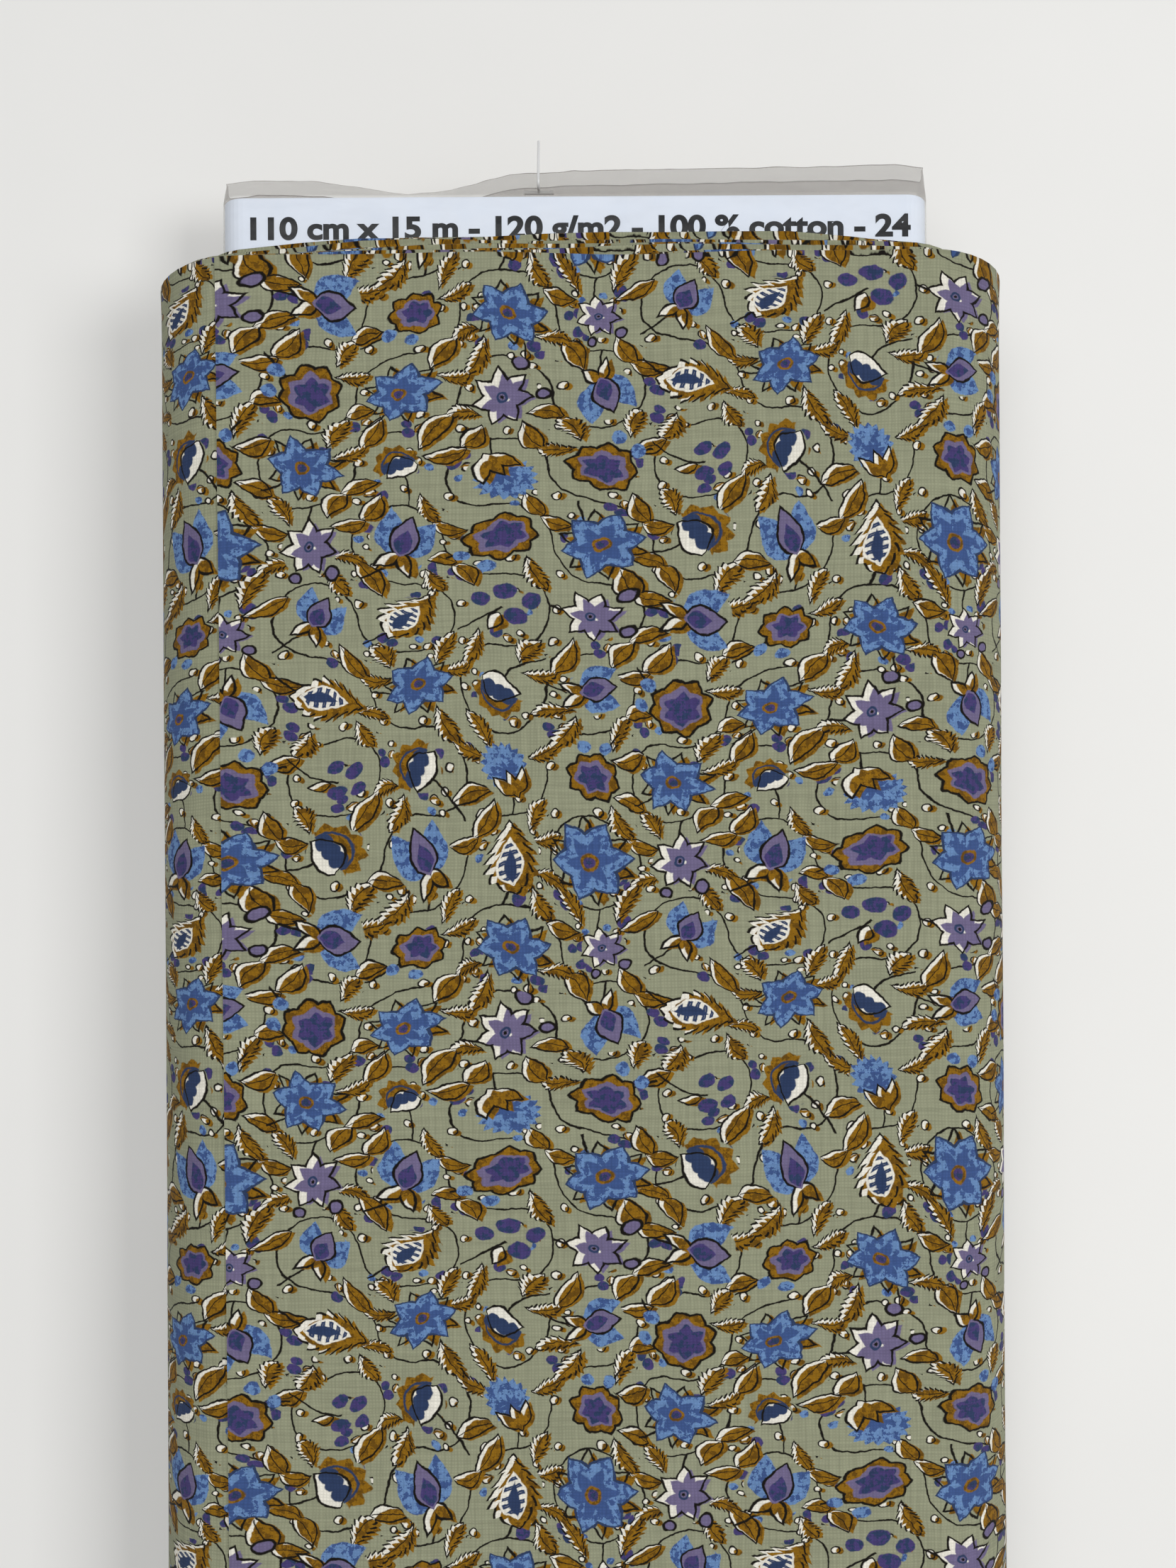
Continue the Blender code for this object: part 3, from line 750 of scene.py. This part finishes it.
def columnTurns(start, end, flatStep, bendSteps):
    # turns at which to cut columns: even on the flats, finer round the corners
    _, _, knots = turnLayout()
    marks = []
    for whole in range(int(math.floor(start)), int(math.ceil(end)) + 1):
        for number in range(8):
            low, high = whole + knots[number], whole + knots[number + 1]
            span = np.interp(high, tableTurns, tableMetres) - np.interp(low, tableTurns, tableMetres)
            steps = bendSteps if number % 2 else max(1, round(span / flatStep))
            marks += list(np.linspace(low, high, steps, endpoint=False))
    marks = np.array(marks)
    return np.concatenate([[start], marks[(marks > start + 1e-4) & (marks < end - 1e-4)], [end]])


def heightRows(steps, foldSteps):
    # rows up one ply, over the fold and down the other: metres of cloth, drop below the fold, and angle
    half = bolt["clothWidth"] / 2
    fold = bolt["foldHalf"]
    if steps < 40:
        drops = np.geomspace(fold, half, steps)
    else:
        drops = np.concatenate([np.geomspace(fold, 0.012, 7), np.linspace(0.012, half, steps)[1:]])
    rise = drops[::-1]
    turned = np.linspace(0, math.pi, foldSteps + 1)[1:-1]
    metres = np.concatenate([half - rise, half + fold * (turned / math.pi * 2 - 1), half + drops])
    drop = np.concatenate([rise, np.zeros(len(turned)), drops])
    angle = np.concatenate([np.zeros(len(rise)), turned, np.full(len(rise), math.pi)])
    return metres, drop, angle


def smoothStep(value):
    value = np.clip(value, 0, 1)
    return value * value * (3 - 2 * value)


def clothLumps(phase, height, bottom):
    # soft unevenness from -1 to 1, the same for a turn and the one under it so that they nest
    levels, places = 60, 97
    level = np.linspace(bottom - 0.005, foldY + 0.02, levels)
    around = np.linspace(0, 1, places)
    lumps = np.zeros((levels, places))
    for row, y in enumerate(level):
        for column, share in enumerate(around):
            side, front = math.cos(2 * math.pi * share), math.sin(2 * math.pi * share)
            broad = noise.noise(Vector((side * 1.6, front * 1.6, float(y) * 9)))
            lumps[row, column] = broad + 0.4 * noise.noise(Vector((side * 5, front * 5, float(y) * 22)))
    at = np.interp(phase, around, np.arange(places))
    up = np.interp(height, level, np.arange(levels))
    lowU = np.minimum(at.astype(int), places - 2)[None, :]
    lowV = np.minimum(up.astype(int), levels - 2)
    fracU, fracV = at[None, :] - lowU, up - lowV
    return ((lumps[lowV, lowU] * (1 - fracU) + lumps[lowV, lowU + 1] * fracU) * (1 - fracV)
            + (lumps[lowV + 1, lowU] * (1 - fracU) + lumps[lowV + 1, lowU + 1] * fracU) * fracV)


def clothPiece(name, start, end, flatStep, bendSteps, upSteps, foldSteps, extraColumns=()):
    # one stretch of the wound cloth as a sheet doubled over at the fold edge
    turns = columnTurns(start, end, flatStep, bendSteps)
    turns = np.unique(np.round(np.concatenate([turns, extraColumns]), 7)) if len(extraColumns) else turns
    rows, drop, angle = heightRows(upSteps, foldSteps)
    x, z, normalX, normalZ, share = windingPath(turns)
    metres = np.interp(turns, tableTurns, tableMetres)
    rise = np.zeros(len(turns))
    puff = np.full(len(turns), 0.25)
    packEnds = (0.0,) + bolt["packEnds"]
    for number, at in enumerate(bolt["packEnds"]):
        step = bolt["packRise"][number + 1] - bolt["packRise"][number]
        rise += step * smoothStep((turns - at) / bolt["packTurns"])
    for at in packEnds:
        puff += 0.75 * smoothStep((turns - at + 0.3) / 0.3) * (1 - smoothStep((turns - at - 1.0) / 0.3))
    # the folds stand highest in the middle of the front, and sink round the sides
    sideways = np.abs(x)
    begins, over = bolt["riseSinks"]
    rise *= 1 - (1 - bolt["riseKept"]) * smoothStep((sideways - begins) / over)
    begins, over = bolt["dipSinks"]
    rise -= bolt["cornerDip"] * smoothStep((sideways - begins) / over)
    rise += bolt["foldTilt"] * x / rollHigh.x
    bottom = foldY - bolt["clothWidth"] / 2
    grid = np.zeros((len(rows), len(turns), 3))
    height = foldY + rise[None, :] - drop[:, None]
    phase = turns % 1.0
    lump = clothLumps(phase, height, bottom)
    front = np.clip(normalZ, 0, 1)
    swell = bolt["crown"] * front * np.clip(1 - (x / bolt["crownHalf"]) ** 2, 0, 1) * share
    calm = np.where(normalZ > -0.5, 1.0, bolt["backRipple"])
    lift = lump * bolt["ripple"] * (share ** 2)[None, :] * calm[None, :] + swell[None, :]
    # the fold is a little open, and closes within a centimetre below it
    opened = bolt["foldPuff"] * puff[None, :]
    gape = bolt["plyApart"] / 2 + opened * np.exp(-drop[:, None] / bolt["foldCloses"])
    off = lift + gape * np.cos(angle)[:, None]
    top = height + gape * np.sin(angle)[:, None]
    # the fold edge isn't ruler straight
    wave = sum(tall * np.sin(metres * rate + late) for tall, rate, late in bolt["foldWaves"])
    top = top + wave[None, :] * smoothStep((top - foldY + 0.25) / 0.25)
    # the free edge was cut a little out of square
    aside, reach = bolt["cutSlant"]
    slant = -aside * (height - bottom) / (foldY - bottom) * (1 - smoothStep(metres / reach))[None, :]
    grid[:, :, 0] = x[None, :] + normalX[None, :] * off + slant
    grid[:, :, 1] = top
    grid[:, :, 2] = midZ + z[None, :] + normalZ[None, :] * off - slant ** 2 / (2 * bolt["outerRound"])
    vertices = grid.reshape(-1, 3)
    across = len(turns)
    j, i = np.meshgrid(np.arange(len(rows) - 1), np.arange(across - 1), indexing="ij")
    corner = (j * across + i).ravel()
    faces = np.stack([corner, corner + 1, corner + across + 1, corner + across], axis=1)
    mesh = bpy.data.meshes.new(name)
    mesh.from_pydata(vertices.tolist(), [], faces.tolist())
    layer = mesh.uv_layers.new(name="clothMetres")
    loops = np.empty(len(mesh.loops), int)
    mesh.loops.foreach_get("vertex_index", loops)
    spot = np.stack([metres[loops % across], rows[loops // across]], axis=1)
    layer.data.foreach_set("uv", spot.ravel())
    piece = bpy.data.objects.new(name, mesh)
    bpy.context.scene.collection.objects.link(piece)
    for material in (clothFace, clothBack, clothEdge):
        mesh.materials.append(material)
    solid = piece.modifiers.new("plyThickness", "SOLIDIFY")
    solid.thickness = bolt["plyThick"]
    solid.offset = 0
    solid.material_offset = 1
    solid.material_offset_rim = 2
    bpy.ops.object.select_all(action="DESELECT")
    piece.select_set(True)
    bpy.context.view_layer.objects.active = piece
    bpy.ops.object.modifier_apply(modifier=solid.name)
    bpy.ops.object.shade_smooth_by_angle(angle=math.radians(50))
    length = float(metres[-1] - metres[0])
    print(name, len(piece.data.polygons), "faces,", round(length, 3), "m long")
    return piece, length


def turnAt(x):
    # turns from the free edge to a place on the front
    turns = np.linspace(0, 0.45, 4001)
    return float(np.interp(x, windingPath(turns)[0][:3500], turns[:3500]))


hinges = {joint["name"]: joint["pos_m"] for joint in frame["joints"] if "pos_m" in joint}
liftX, dropX = hinges["loose_end_lift"][0], hinges["loose_end_drop"][0]
seamTurn, bendTurn = turnAt(bolt["seamX"]), turnAt(bolt["bendX"])
dropColumns = np.linspace(turnAt(bolt["dropSoftTo"] - 0.0005), turnAt(dropX), 16)
liftColumns = np.linspace(turnAt(bolt["liftSoftTo"]), turnAt(liftX + 0.001), 16)
# m from column to column, columns round a bend, rows up a ply, and rows over the fold
fineCuts = (0.003, 10, 124, 7)
ends = bolt["splits"]
looseOuter, looseOuterLong = clothPiece("loose_end_outer_cloth", 0.0, seamTurn, *fineCuts, dropColumns)
looseInner, looseInnerLong = clothPiece("loose_end_inner_cloth", seamTurn, bendTurn, *fineCuts, liftColumns)
outerTurn, outerTurnLong = clothPiece("outer_turn_cloth", bendTurn, ends[0], *fineCuts)
woundOuter, woundOuterLong = clothPiece("wound_cloth_outer", ends[0], ends[1], 0.016, 7, 12, 5)
woundMiddle, woundMiddleLong = clothPiece("wound_cloth_middle", ends[1], ends[2], 0.016, 6, 12, 5)
woundInner, woundInnerLong = clothPiece("wound_cloth_inner", ends[2], ends[3], 0.016, 5, 12, 5)
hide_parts("loose_end_outer")
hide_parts("loose_end_inner")
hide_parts("winding_5")
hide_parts("winding_4", "winding_3")
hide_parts("winding_2")
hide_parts("winding_1")
for piece in (outerTurn, woundOuter, woundMiddle, woundInner):
    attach(piece, "roll")
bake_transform(looseInner)
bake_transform(looseOuter)
print("cloth wound")


labelPrint = {
    "words": "110 cm x 15 m - 120 g/m2 - 100 % cotton - 24",
    "capHeight": 0.0059,      # m
    "left": 0.0070,           # m in from the label's left edge
    "capTop": 0.0194,         # m above the fold edge
    "bold": 0.00030,          # m added round each stroke
    "inkHalf": 0.00003,       # m, half the ink's thickness
    "lift": 0.00006,          # m, the ink's top above the paper
    "widest": 1.25,           # how much wider than high the letters may be drawn
}


def mottledColour(tree, place, scale, detail, light, deep):
    # two close colours, clouded together
    cloud = addNode(tree, "TexNoise", {"Vector": place, "Scale": scale, "Detail": detail})
    mixed = addNode(tree, "Mix", cloud, {6: linearColour(light), 7: linearColour(deep)}, data_type="RGBA")
    return mixed.outputs[2]


def labelPaper():
    # office paper, bluish white: nearly matt, with faint fibre cloud
    material, tree, shader = newMaterial("labelPaperUncoatedWhite", 0.72, Specular_IOR_Level=0.35)
    place = addNode(tree, "TexCoord").outputs["Object"]
    colour = mottledColour(tree, place, 140.0, 5.0, "#e2eaf7", "#ecf2fc")
    fibre = addNode(tree, "TexNoise", {"Vector": place, "Scale": 900.0, "Detail": 3.0})
    bump = addNode(tree, "Bump", {"Height": fibre, "Distance": 0.00003, "Strength": 0.3})
    tree.links.new(colour, shader.inputs["Base Color"])
    tree.links.new(bump.outputs[0], shader.inputs["Normal"])
    return material


def tonerInk():
    # laser toner: near black and dull, a little uneven in solid strokes
    material, tree, shader = newMaterial("tonerFusedBlack", 0.6, Specular_IOR_Level=0.12)
    place = addNode(tree, "TexCoord").outputs["Object"]
    colour = mottledColour(tree, place, 1600.0, 2.0, "#0e1013", "#23262b")
    tree.links.new(colour, shader.inputs["Base Color"])
    return material


def putMaterial(node, material):
    piece = frame["nodes"][node]
    piece.data.materials.clear()
    piece.data.materials.append(material)
    for face in piece.data.polygons:
        face.material_index = 0


def buildLabelPrint():
    bpy.ops.object.select_all(action="DESELECT")
    bpy.ops.object.text_add(location=(0, 0, 0))
    piece = bpy.context.object
    piece.name = "label_print"
    piece.data.body = labelPrint["words"]
    piece.data.size = 0.008
    piece.data.offset = labelPrint["bold"]
    piece.data.extrude = labelPrint["inkHalf"]
    bpy.ops.object.convert(target="MESH")
    corners = np.array([vertex.co for vertex in piece.data.vertices])
    taller = labelPrint["capHeight"] / corners[:, 1].max()
    room = labelHigh.x - labelLow.x - 2 * labelPrint["left"]
    wider = min(labelPrint["widest"] * taller, room / (corners[:, 0].max() - corners[:, 0].min()))
    piece.scale = (wider, taller, 1)
    piece.location = (labelLow.x + labelPrint["left"],
                      foldY + labelPrint["capTop"] - labelPrint["capHeight"],
                      labelHigh.z + labelPrint["lift"] - labelPrint["inkHalf"])
    bpy.ops.object.transform_apply(location=True, rotation=True, scale=True)
    piece.data.materials.clear()
    piece.data.materials.append(tonerInk())
    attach(piece, "core")


putMaterial("label_band", labelPaper())
buildLabelPrint()
print("label printed")


film = {
    "off": 0.00078,           # m, from the board to the film's middle
    "bend": 0.0062,           # m, corner of the tube
    "pastBoard": 0.0004,      # m past the board's end, where the walls begin to close
    "longest": 0.0345,        # m above the fold edge, taken for the flat length
    "thick": 0.00005,         # m
    "mouth": ((-0.096, 0.0322), (-0.088, 0.0332), (-0.07, 0.0328), (-0.055, 0.0305), (-0.046, 0.0292),
              (-0.038, 0.0298), (-0.027, 0.0321), (-0.018, 0.0345), (0.0, 0.0354), (0.05, 0.0361),
              (0.088, 0.0366), (0.096, 0.0357)),             # m across, and m above the fold edge
    "ridge": 0.0125,          # m in from the side, where the film is drawn over to the mouth's corner
    "backDrop": 0.0022,       # m, how much lower the back edge is
    "pinch": 0.16,            # share of the depth left at the mouth
    "crease": 0.00022,        # m, height of the crinkles
    "deepest": 0.00008,       # m, how far a crinkle goes in where the film lies on the board
    "crushedHaze": 0.1,       # how much less clear each wall is past the board's end
    "crushedTintShaded": "#f0efee", # and what it lets through there, darkened as painted shade of the floor seen through
    "edgeLine": "#b9b5b2",    # what the cut edge of the mouth lets through
}


def clearFilm():
    # blown polythene: clear, a faint milky haze and sharp glints where it creases
    material = bpy.data.materials.new("polytheneFilmBlownClear")
    material.use_nodes = True
    tree = material.node_tree
    shader = tree.nodes["Principled BSDF"]
    output = tree.nodes["Material Output"]
    shader.inputs["Base Color"].default_value = linearColour("#cbcac8")
    shader.inputs["Roughness"].default_value = 0.16
    shader.inputs["Specular IOR Level"].default_value = 0.6
    place = addNode(tree, "TexCoord")
    stretch = addNode(tree, "Mapping", place.outputs["Object"],
                      {"Rotation": (0, 0, 0.6), "Scale": (60, 190, 60)})
    crinkle = addNode(tree, "TexNoise", {"Vector": stretch, "Scale": 1.0, "Detail": 4.0, "Roughness": 0.55})
    bump = addNode(tree, "Bump", {"Height": crinkle, "Distance": 0.0006, "Strength": 0.5})
    # the cut edge of each wall shows as a fine grey line
    mouth = addNode(tree, "Attribute", attribute_name="mouthEdge")
    # past the board's end the two walls lie crushed together and look milkier; what they let through is also
    # darkened, painted shade of the floor seen through them
    height = addNode(tree, "SeparateXYZ", place.outputs["Object"])
    past = addNode(tree, "MapRange", height.outputs[1], coreHigh.y - 0.0003, coreHigh.y + 0.0012, 0.0, 1.0)
    walls = addNode(tree, "Mix", past, {6: linearColour("#fdfdfd"), 7: linearColour(film["crushedTintShaded"])},
                    data_type="RGBA")
    through = addNode(tree, "Mix", mouth.outputs["Fac"],
                      {6: walls.outputs[2], 7: linearColour(film["edgeLine"])}, data_type="RGBA")
    clear = addNode(tree, "BsdfTransparent", {"Color": through.outputs[2]})
    facing = addNode(tree, "LayerWeight", {"Blend": 0.22})
    haze = addNode(tree, "MapRange", crinkle, 0.4, 0.75, 0.004, 0.035)
    milky = addNode(tree, "Math.MULTIPLY_ADD", past, film["crushedHaze"], haze)
    share = addNode(tree, "Math.MULTIPLY_ADD", facing.outputs["Facing"], 0.28, milky)
    mixed = addNode(tree, "MixShader", share, clear, shader.outputs[0])
    tree.links.new(bump.outputs[0], shader.inputs["Normal"])
    tree.links.new(mixed.outputs[0], output.inputs["Surface"])
    return material


def buildFilm():
    # a flat tube: below the board's end it hugs the label, above it the mouth is pressed flat
    halfWide = coreHigh.x + film["off"]
    halfDeep = (coreHigh.z - coreLow.z) / 2 + film["off"]
    bend = film["bend"]
    flat, straight = halfWide - bend, halfDeep - bend
    endY = coreHigh.y + film["pastBoard"]
    startY = filmLow.y
    across = np.linspace(-1, 1, 221)
    mouthX = [at[0] for at in film["mouth"]]
    mouthY = [foldY + at[1] for at in film["mouth"]]
    belowRows = np.linspace(0, 1, 60)
    aboveRows = list(np.linspace(0, 1, 15)[1:-1]) + [0.965, 1.0]
    rows = []
    for part, shares in (("below", belowRows), ("above", aboveRows)):
        for share in shares:
            loop = []
            pinch = 0.0 if part == "below" else float(share)
            side = np.linspace(0, math.pi / 2, 7)
            points = [(t * flat, halfDeep) for t in across]
            points += [(flat + bend * math.sin(a), halfDeep - bend + bend * math.cos(a)) for a in side[1:]]
            points += [(halfWide, straight * (1 - t)) for t in np.linspace(0, 2, 9)[1:]]
            points += [(flat + bend * math.cos(a), -halfDeep + bend - bend * math.sin(a)) for a in side[1:]]
            points += [(-t * flat, -halfDeep) for t in across[1:]]
            points += [(-flat - bend * math.sin(a), -halfDeep + bend - bend * math.cos(a)) for a in side[1:]]
            points += [(-halfWide, -straight * (1 - t)) for t in np.linspace(0, 2, 9)[1:]]
            points += [(-flat - bend * math.cos(a), halfDeep - bend + bend * math.sin(a)) for a in side[1:-1]]
            drawn = halfWide - film["ridge"]
            for px, pz in points:
                spread = px * halfWide / drawn if abs(px) < drawn else math.copysign(halfWide, px)
                px += (spread - px) * pinch
                pz *= 1 - (1 - film["pinch"]) * pinch
                high = float(np.interp(px, mouthX, mouthY)) - (film["backDrop"] if pz < 0 else 0.0)
                y = startY + share * (endY - startY) if part == "below" else endY + share * (high - endY)
                at = Vector((px * 70, y * 160, (2.0 if pz > 0 else 7.0)))
                ridge = 1 - abs(noise.noise(at)) * 2.2
                fine = noise.noise(Vector((px * 210, y * 330, 5.0 + (pz > 0))))
                bulge = film["crease"] * (0.55 * ridge + 0.45 * fine)
                bulge = max(-film["deepest"], bulge) if part == "below" else bulge * (1 + 2.5 * pinch)
                outward = 1 if pz >= 0 else -1
                loop.append((px, y, midZ + pz + outward * bulge))
            rows.append(loop)
    around = len(rows[0])
    vertices = [point for loop in rows for point in loop]
    faces = []
    for row in range(len(rows) - 1):
        for at in range(around):
            following = (at + 1) % around
            faces.append((row * around + at, (row + 1) * around + at, (row + 1) * around + following,
                          row * around + following))
    mesh = bpy.data.meshes.new("film_cover")
    mesh.from_pydata(vertices, [], faces)
    edge = mesh.attributes.new("mouthEdge", "FLOAT", "POINT")
    edge.data.foreach_set("value", [0.0] * around * (len(rows) - 1) + [1.0] * around)
    piece = bpy.data.objects.new("film_cover", mesh)
    bpy.context.scene.collection.objects.link(piece)
    mesh.materials.append(clearFilm())
    solid = piece.modifiers.new("filmThickness", "SOLIDIFY")
    solid.thickness = film["thick"]
    solid.offset = 0
    bpy.ops.object.select_all(action="DESELECT")
    piece.select_set(True)
    bpy.context.view_layer.objects.active = piece
    bpy.ops.object.modifier_apply(modifier=solid.name)
    bpy.ops.object.shade_smooth_by_angle(angle=math.radians(60))
    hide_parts("film_sleeve")
    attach(piece, "core")


def clearNylon():
    # injection moulded nylon: milky clear and waxy
    material, tree, shader = newMaterial("nylonTagPinMouldedClear", 0.35, Transmission_Weight=0.2, IOR=1.53)
    place = addNode(tree, "TexCoord").outputs["Object"]
    colour = mottledColour(tree, place, 500.0, 2.0, "#e6e7e7", "#f6f6f5")
    tree.links.new(colour, shader.inputs["Base Color"])
    return material


buildFilm()
putMaterial("tag_pin", clearNylon())
print("film and tag pin made")


board = {
    "fluteLength": 0.0086,    # m, one wave
    "linerThick": 0.00035,    # m
    "fluteThick": 0.00025,
    "fluteSteps": 10,         # faces along one wave
    "sideGap": 0.0005,        # m that the waves stay in from the panel's sides
    "endGap": 0.0003,         # and from its ends
}


def brownKraft(name, light, deep):
    # brown kraft: matt, with long fibres drawn out along the sheet, coarser than the real 0.05 mm ones so
    # that they show
    material, tree, shader = newMaterial(name, 0.86, Specular_IOR_Level=0.2)
    place = addNode(tree, "TexCoord")
    stretch = addNode(tree, "Mapping", place.outputs["Object"], {"Scale": (1500, 160, 1500)})
    fibre = addNode(tree, "TexNoise", {"Vector": stretch, "Scale": 1.0, "Detail": 4.0, "Roughness": 0.65})
    cloud = addNode(tree, "TexNoise", {"Vector": place.outputs["Object"], "Scale": 60.0, "Detail": 3.0})
    both = addNode(tree, "Math.MULTIPLY_ADD", cloud, 0.5, fibre)
    blend = addNode(tree, "MapRange", both, 0.5, 1.0, 0.0, 1.0)
    mixed = addNode(tree, "Mix", blend, {6: linearColour(light), 7: linearColour(deep)}, data_type="RGBA")
    bump = addNode(tree, "Bump", {"Height": fibre, "Distance": 0.00008, "Strength": 0.4})
    tree.links.new(mixed.outputs[2], shader.inputs["Base Color"])
    tree.links.new(bump.outputs[0], shader.inputs["Normal"])
    return material


def buildPanel(node, name, material):
    # one corrugated panel: a waved sheet glued between two liners
    low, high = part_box(node)
    liner = board["linerThick"]
    bpy.ops.object.select_all(action="DESELECT")
    pieces = []
    for at in (low.z + liner / 2, high.z - liner / 2):
        bpy.ops.mesh.primitive_cube_add(size=1, location=((low.x + high.x) / 2, (low.y + high.y) / 2, at))
        sheet = bpy.context.object
        sheet.scale = (high.x - low.x, high.y - low.y, liner)
        bpy.ops.object.transform_apply(location=True, rotation=True, scale=True)
        bpy.ops.object.mode_set(mode="EDIT")
        bpy.ops.mesh.select_all(action="SELECT")
        bpy.ops.mesh.bevel(offset=liner * 0.3, segments=1)
        bpy.ops.object.mode_set(mode="OBJECT")
        pieces.append(sheet)
    wave = board["fluteLength"]
    waves = int((high.x - low.x - 2 * board["sideGap"]) / wave)
    start = (low.x + high.x) / 2 - waves * wave / 2
    reach = (high.z - low.z) / 2 - liner - board["fluteThick"] / 2 - 0.00002
    steps = board["fluteSteps"]
    bpy.ops.object.select_all(action="DESELECT")
    bpy.ops.mesh.primitive_grid_add(x_subdivisions=steps, y_subdivisions=1, size=1,
                                    location=(start + wave / 2, (low.y + high.y) / 2, (low.z + high.z) / 2))
    flute = bpy.context.object
    flute.scale = (wave, high.y - low.y - 2 * board["endGap"], 1)
    bpy.ops.object.transform_apply(location=True, rotation=True, scale=True)
    for step in range(steps + 1):
        column = start + step * wave / steps
        bpy.ops.object.mode_set(mode="EDIT")
        bpy.ops.mesh.select_all(action="DESELECT")
        bpy.ops.object.mode_set(mode="OBJECT")
        for vertex in flute.data.vertices:
            vertex.select = abs(vertex.co.x - column) < wave / steps / 4
        bpy.ops.object.mode_set(mode="EDIT")
        bpy.ops.transform.translate(value=(0, 0, reach * math.cos(2 * math.pi * step / steps)))
        bpy.ops.object.mode_set(mode="OBJECT")
    row = flute.modifiers.new("row", "ARRAY")
    row.count = waves
    row.use_relative_offset = False
    row.use_constant_offset = True
    row.constant_offset_displace = (wave, 0, 0)
    row.use_merge_vertices = True
    row.merge_threshold = 0.00005
    bpy.ops.object.modifier_apply(modifier=row.name)
    wall = flute.modifiers.new("wall", "SOLIDIFY")
    wall.thickness = board["fluteThick"]
    wall.offset = 0
    bpy.ops.object.modifier_apply(modifier=wall.name)
    bpy.ops.object.shade_smooth_by_angle(angle=math.radians(50))
    for sheet in pieces:
        sheet.select_set(True)
    bpy.context.view_layer.objects.active = flute
    bpy.ops.object.join()
    flute.name = name
    flute.data.materials.clear()
    flute.data.materials.append(material)
    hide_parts(node)
    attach(flute, "core")


fluting = brownKraft("corrugatedBoardFlutedKraft", "#a98257", "#8b6841")
for node in ("core_back_panel", "core_middle_panel", "core_front_panel"):
    buildPanel(node, node.replace("core_", "corrugated_"), fluting)
putMaterial("core_wrap", brownKraft("kraftPaperGluedWrap", "#bd966a", "#a27c52"))
print("board built")


studio = {
    "floorSize": 6.0,         # m
    "floorColour": "#ecebe8",
    "keyPlace": (1.1, 0.0, 1.4),         # m
    "keySize": 0.6,           # m
    "keyPower": 13.0,         # W
    "overheadPlace": (-0.3, 0.35, 1.9),  # m
    "overheadSize": 1.6,
    "overheadPower": 19.0,
    "worldColour": "#eef0f2",
    "worldStrength": 0.31,
    "cameraX": 0.0027,        # m
    "cameraDown": 0.1332,     # m below the fold edge
    "cameraHeight": 0.3545,
    "cameraTurn": -0.33,      # degrees
    "lens": 27.03,            # mm on a 36 mm sensor
}


def buildStudio():
    bpy.ops.mesh.primitive_plane_add(size=studio["floorSize"], location=(0, 0, 0))
    floor = bpy.context.object
    floor.name = "studio_floor"
    # painted board floor: nearly white, with a faint unevenness
    material, tree, shader = newMaterial("paintedBoardMatWhite", 0.65, Specular_IOR_Level=0.3)
    place = addNode(tree, "TexCoord")
    mottle = addNode(tree, "TexNoise", {"Vector": place.outputs["Object"], "Scale": 9.0, "Detail": 4.0})
    tone = addNode(tree, "MapRange", mottle, 0.3, 0.7, 0.975, 1.0)
    paint = addNode(tree, "VectorMath.SCALE", linearColour(studio["floorColour"])[:3], {"Scale": tone})
    tree.links.new(paint.outputs[0], shader.inputs["Base Color"])
    floor.data.materials.append(material)
    for name, place, size, power in (("key", studio["keyPlace"], studio["keySize"], studio["keyPower"]),
                                     ("overhead", studio["overheadPlace"], studio["overheadSize"],
                                      studio["overheadPower"])):
        lamp = bpy.data.lights.new(name + "_softbox", "AREA")
        lamp.size = size
        lamp.energy = power
        holder = bpy.data.objects.new(name + "_softbox", lamp)
        holder.location = place
        holder.rotation_euler = (-Vector(place)).to_track_quat("-Z", "Y").to_euler()
        bpy.context.scene.collection.objects.link(holder)
    world = bpy.data.worlds.new("studioWorld")
    world.use_nodes = True
    background = world.node_tree.nodes["Background"]
    background.inputs["Color"].default_value = linearColour(studio["worldColour"])
    background.inputs["Strength"].default_value = studio["worldStrength"]
    bpy.context.scene.world = world
    lens = bpy.data.cameras.new("product_camera")
    lens.lens = studio["lens"]
    lens.clip_start = 0.01
    camera = bpy.data.objects.new("product_camera", lens)
    camera.location = (studio["cameraX"], foldY - studio["cameraDown"], studio["cameraHeight"])
    camera.rotation_euler = (0, 0, math.radians(studio["cameraTurn"]))
    bpy.context.scene.collection.objects.link(camera)
    bpy.context.scene.camera = camera
    bpy.context.scene.view_settings.view_transform = "Standard"


buildStudio()
print("studio set")
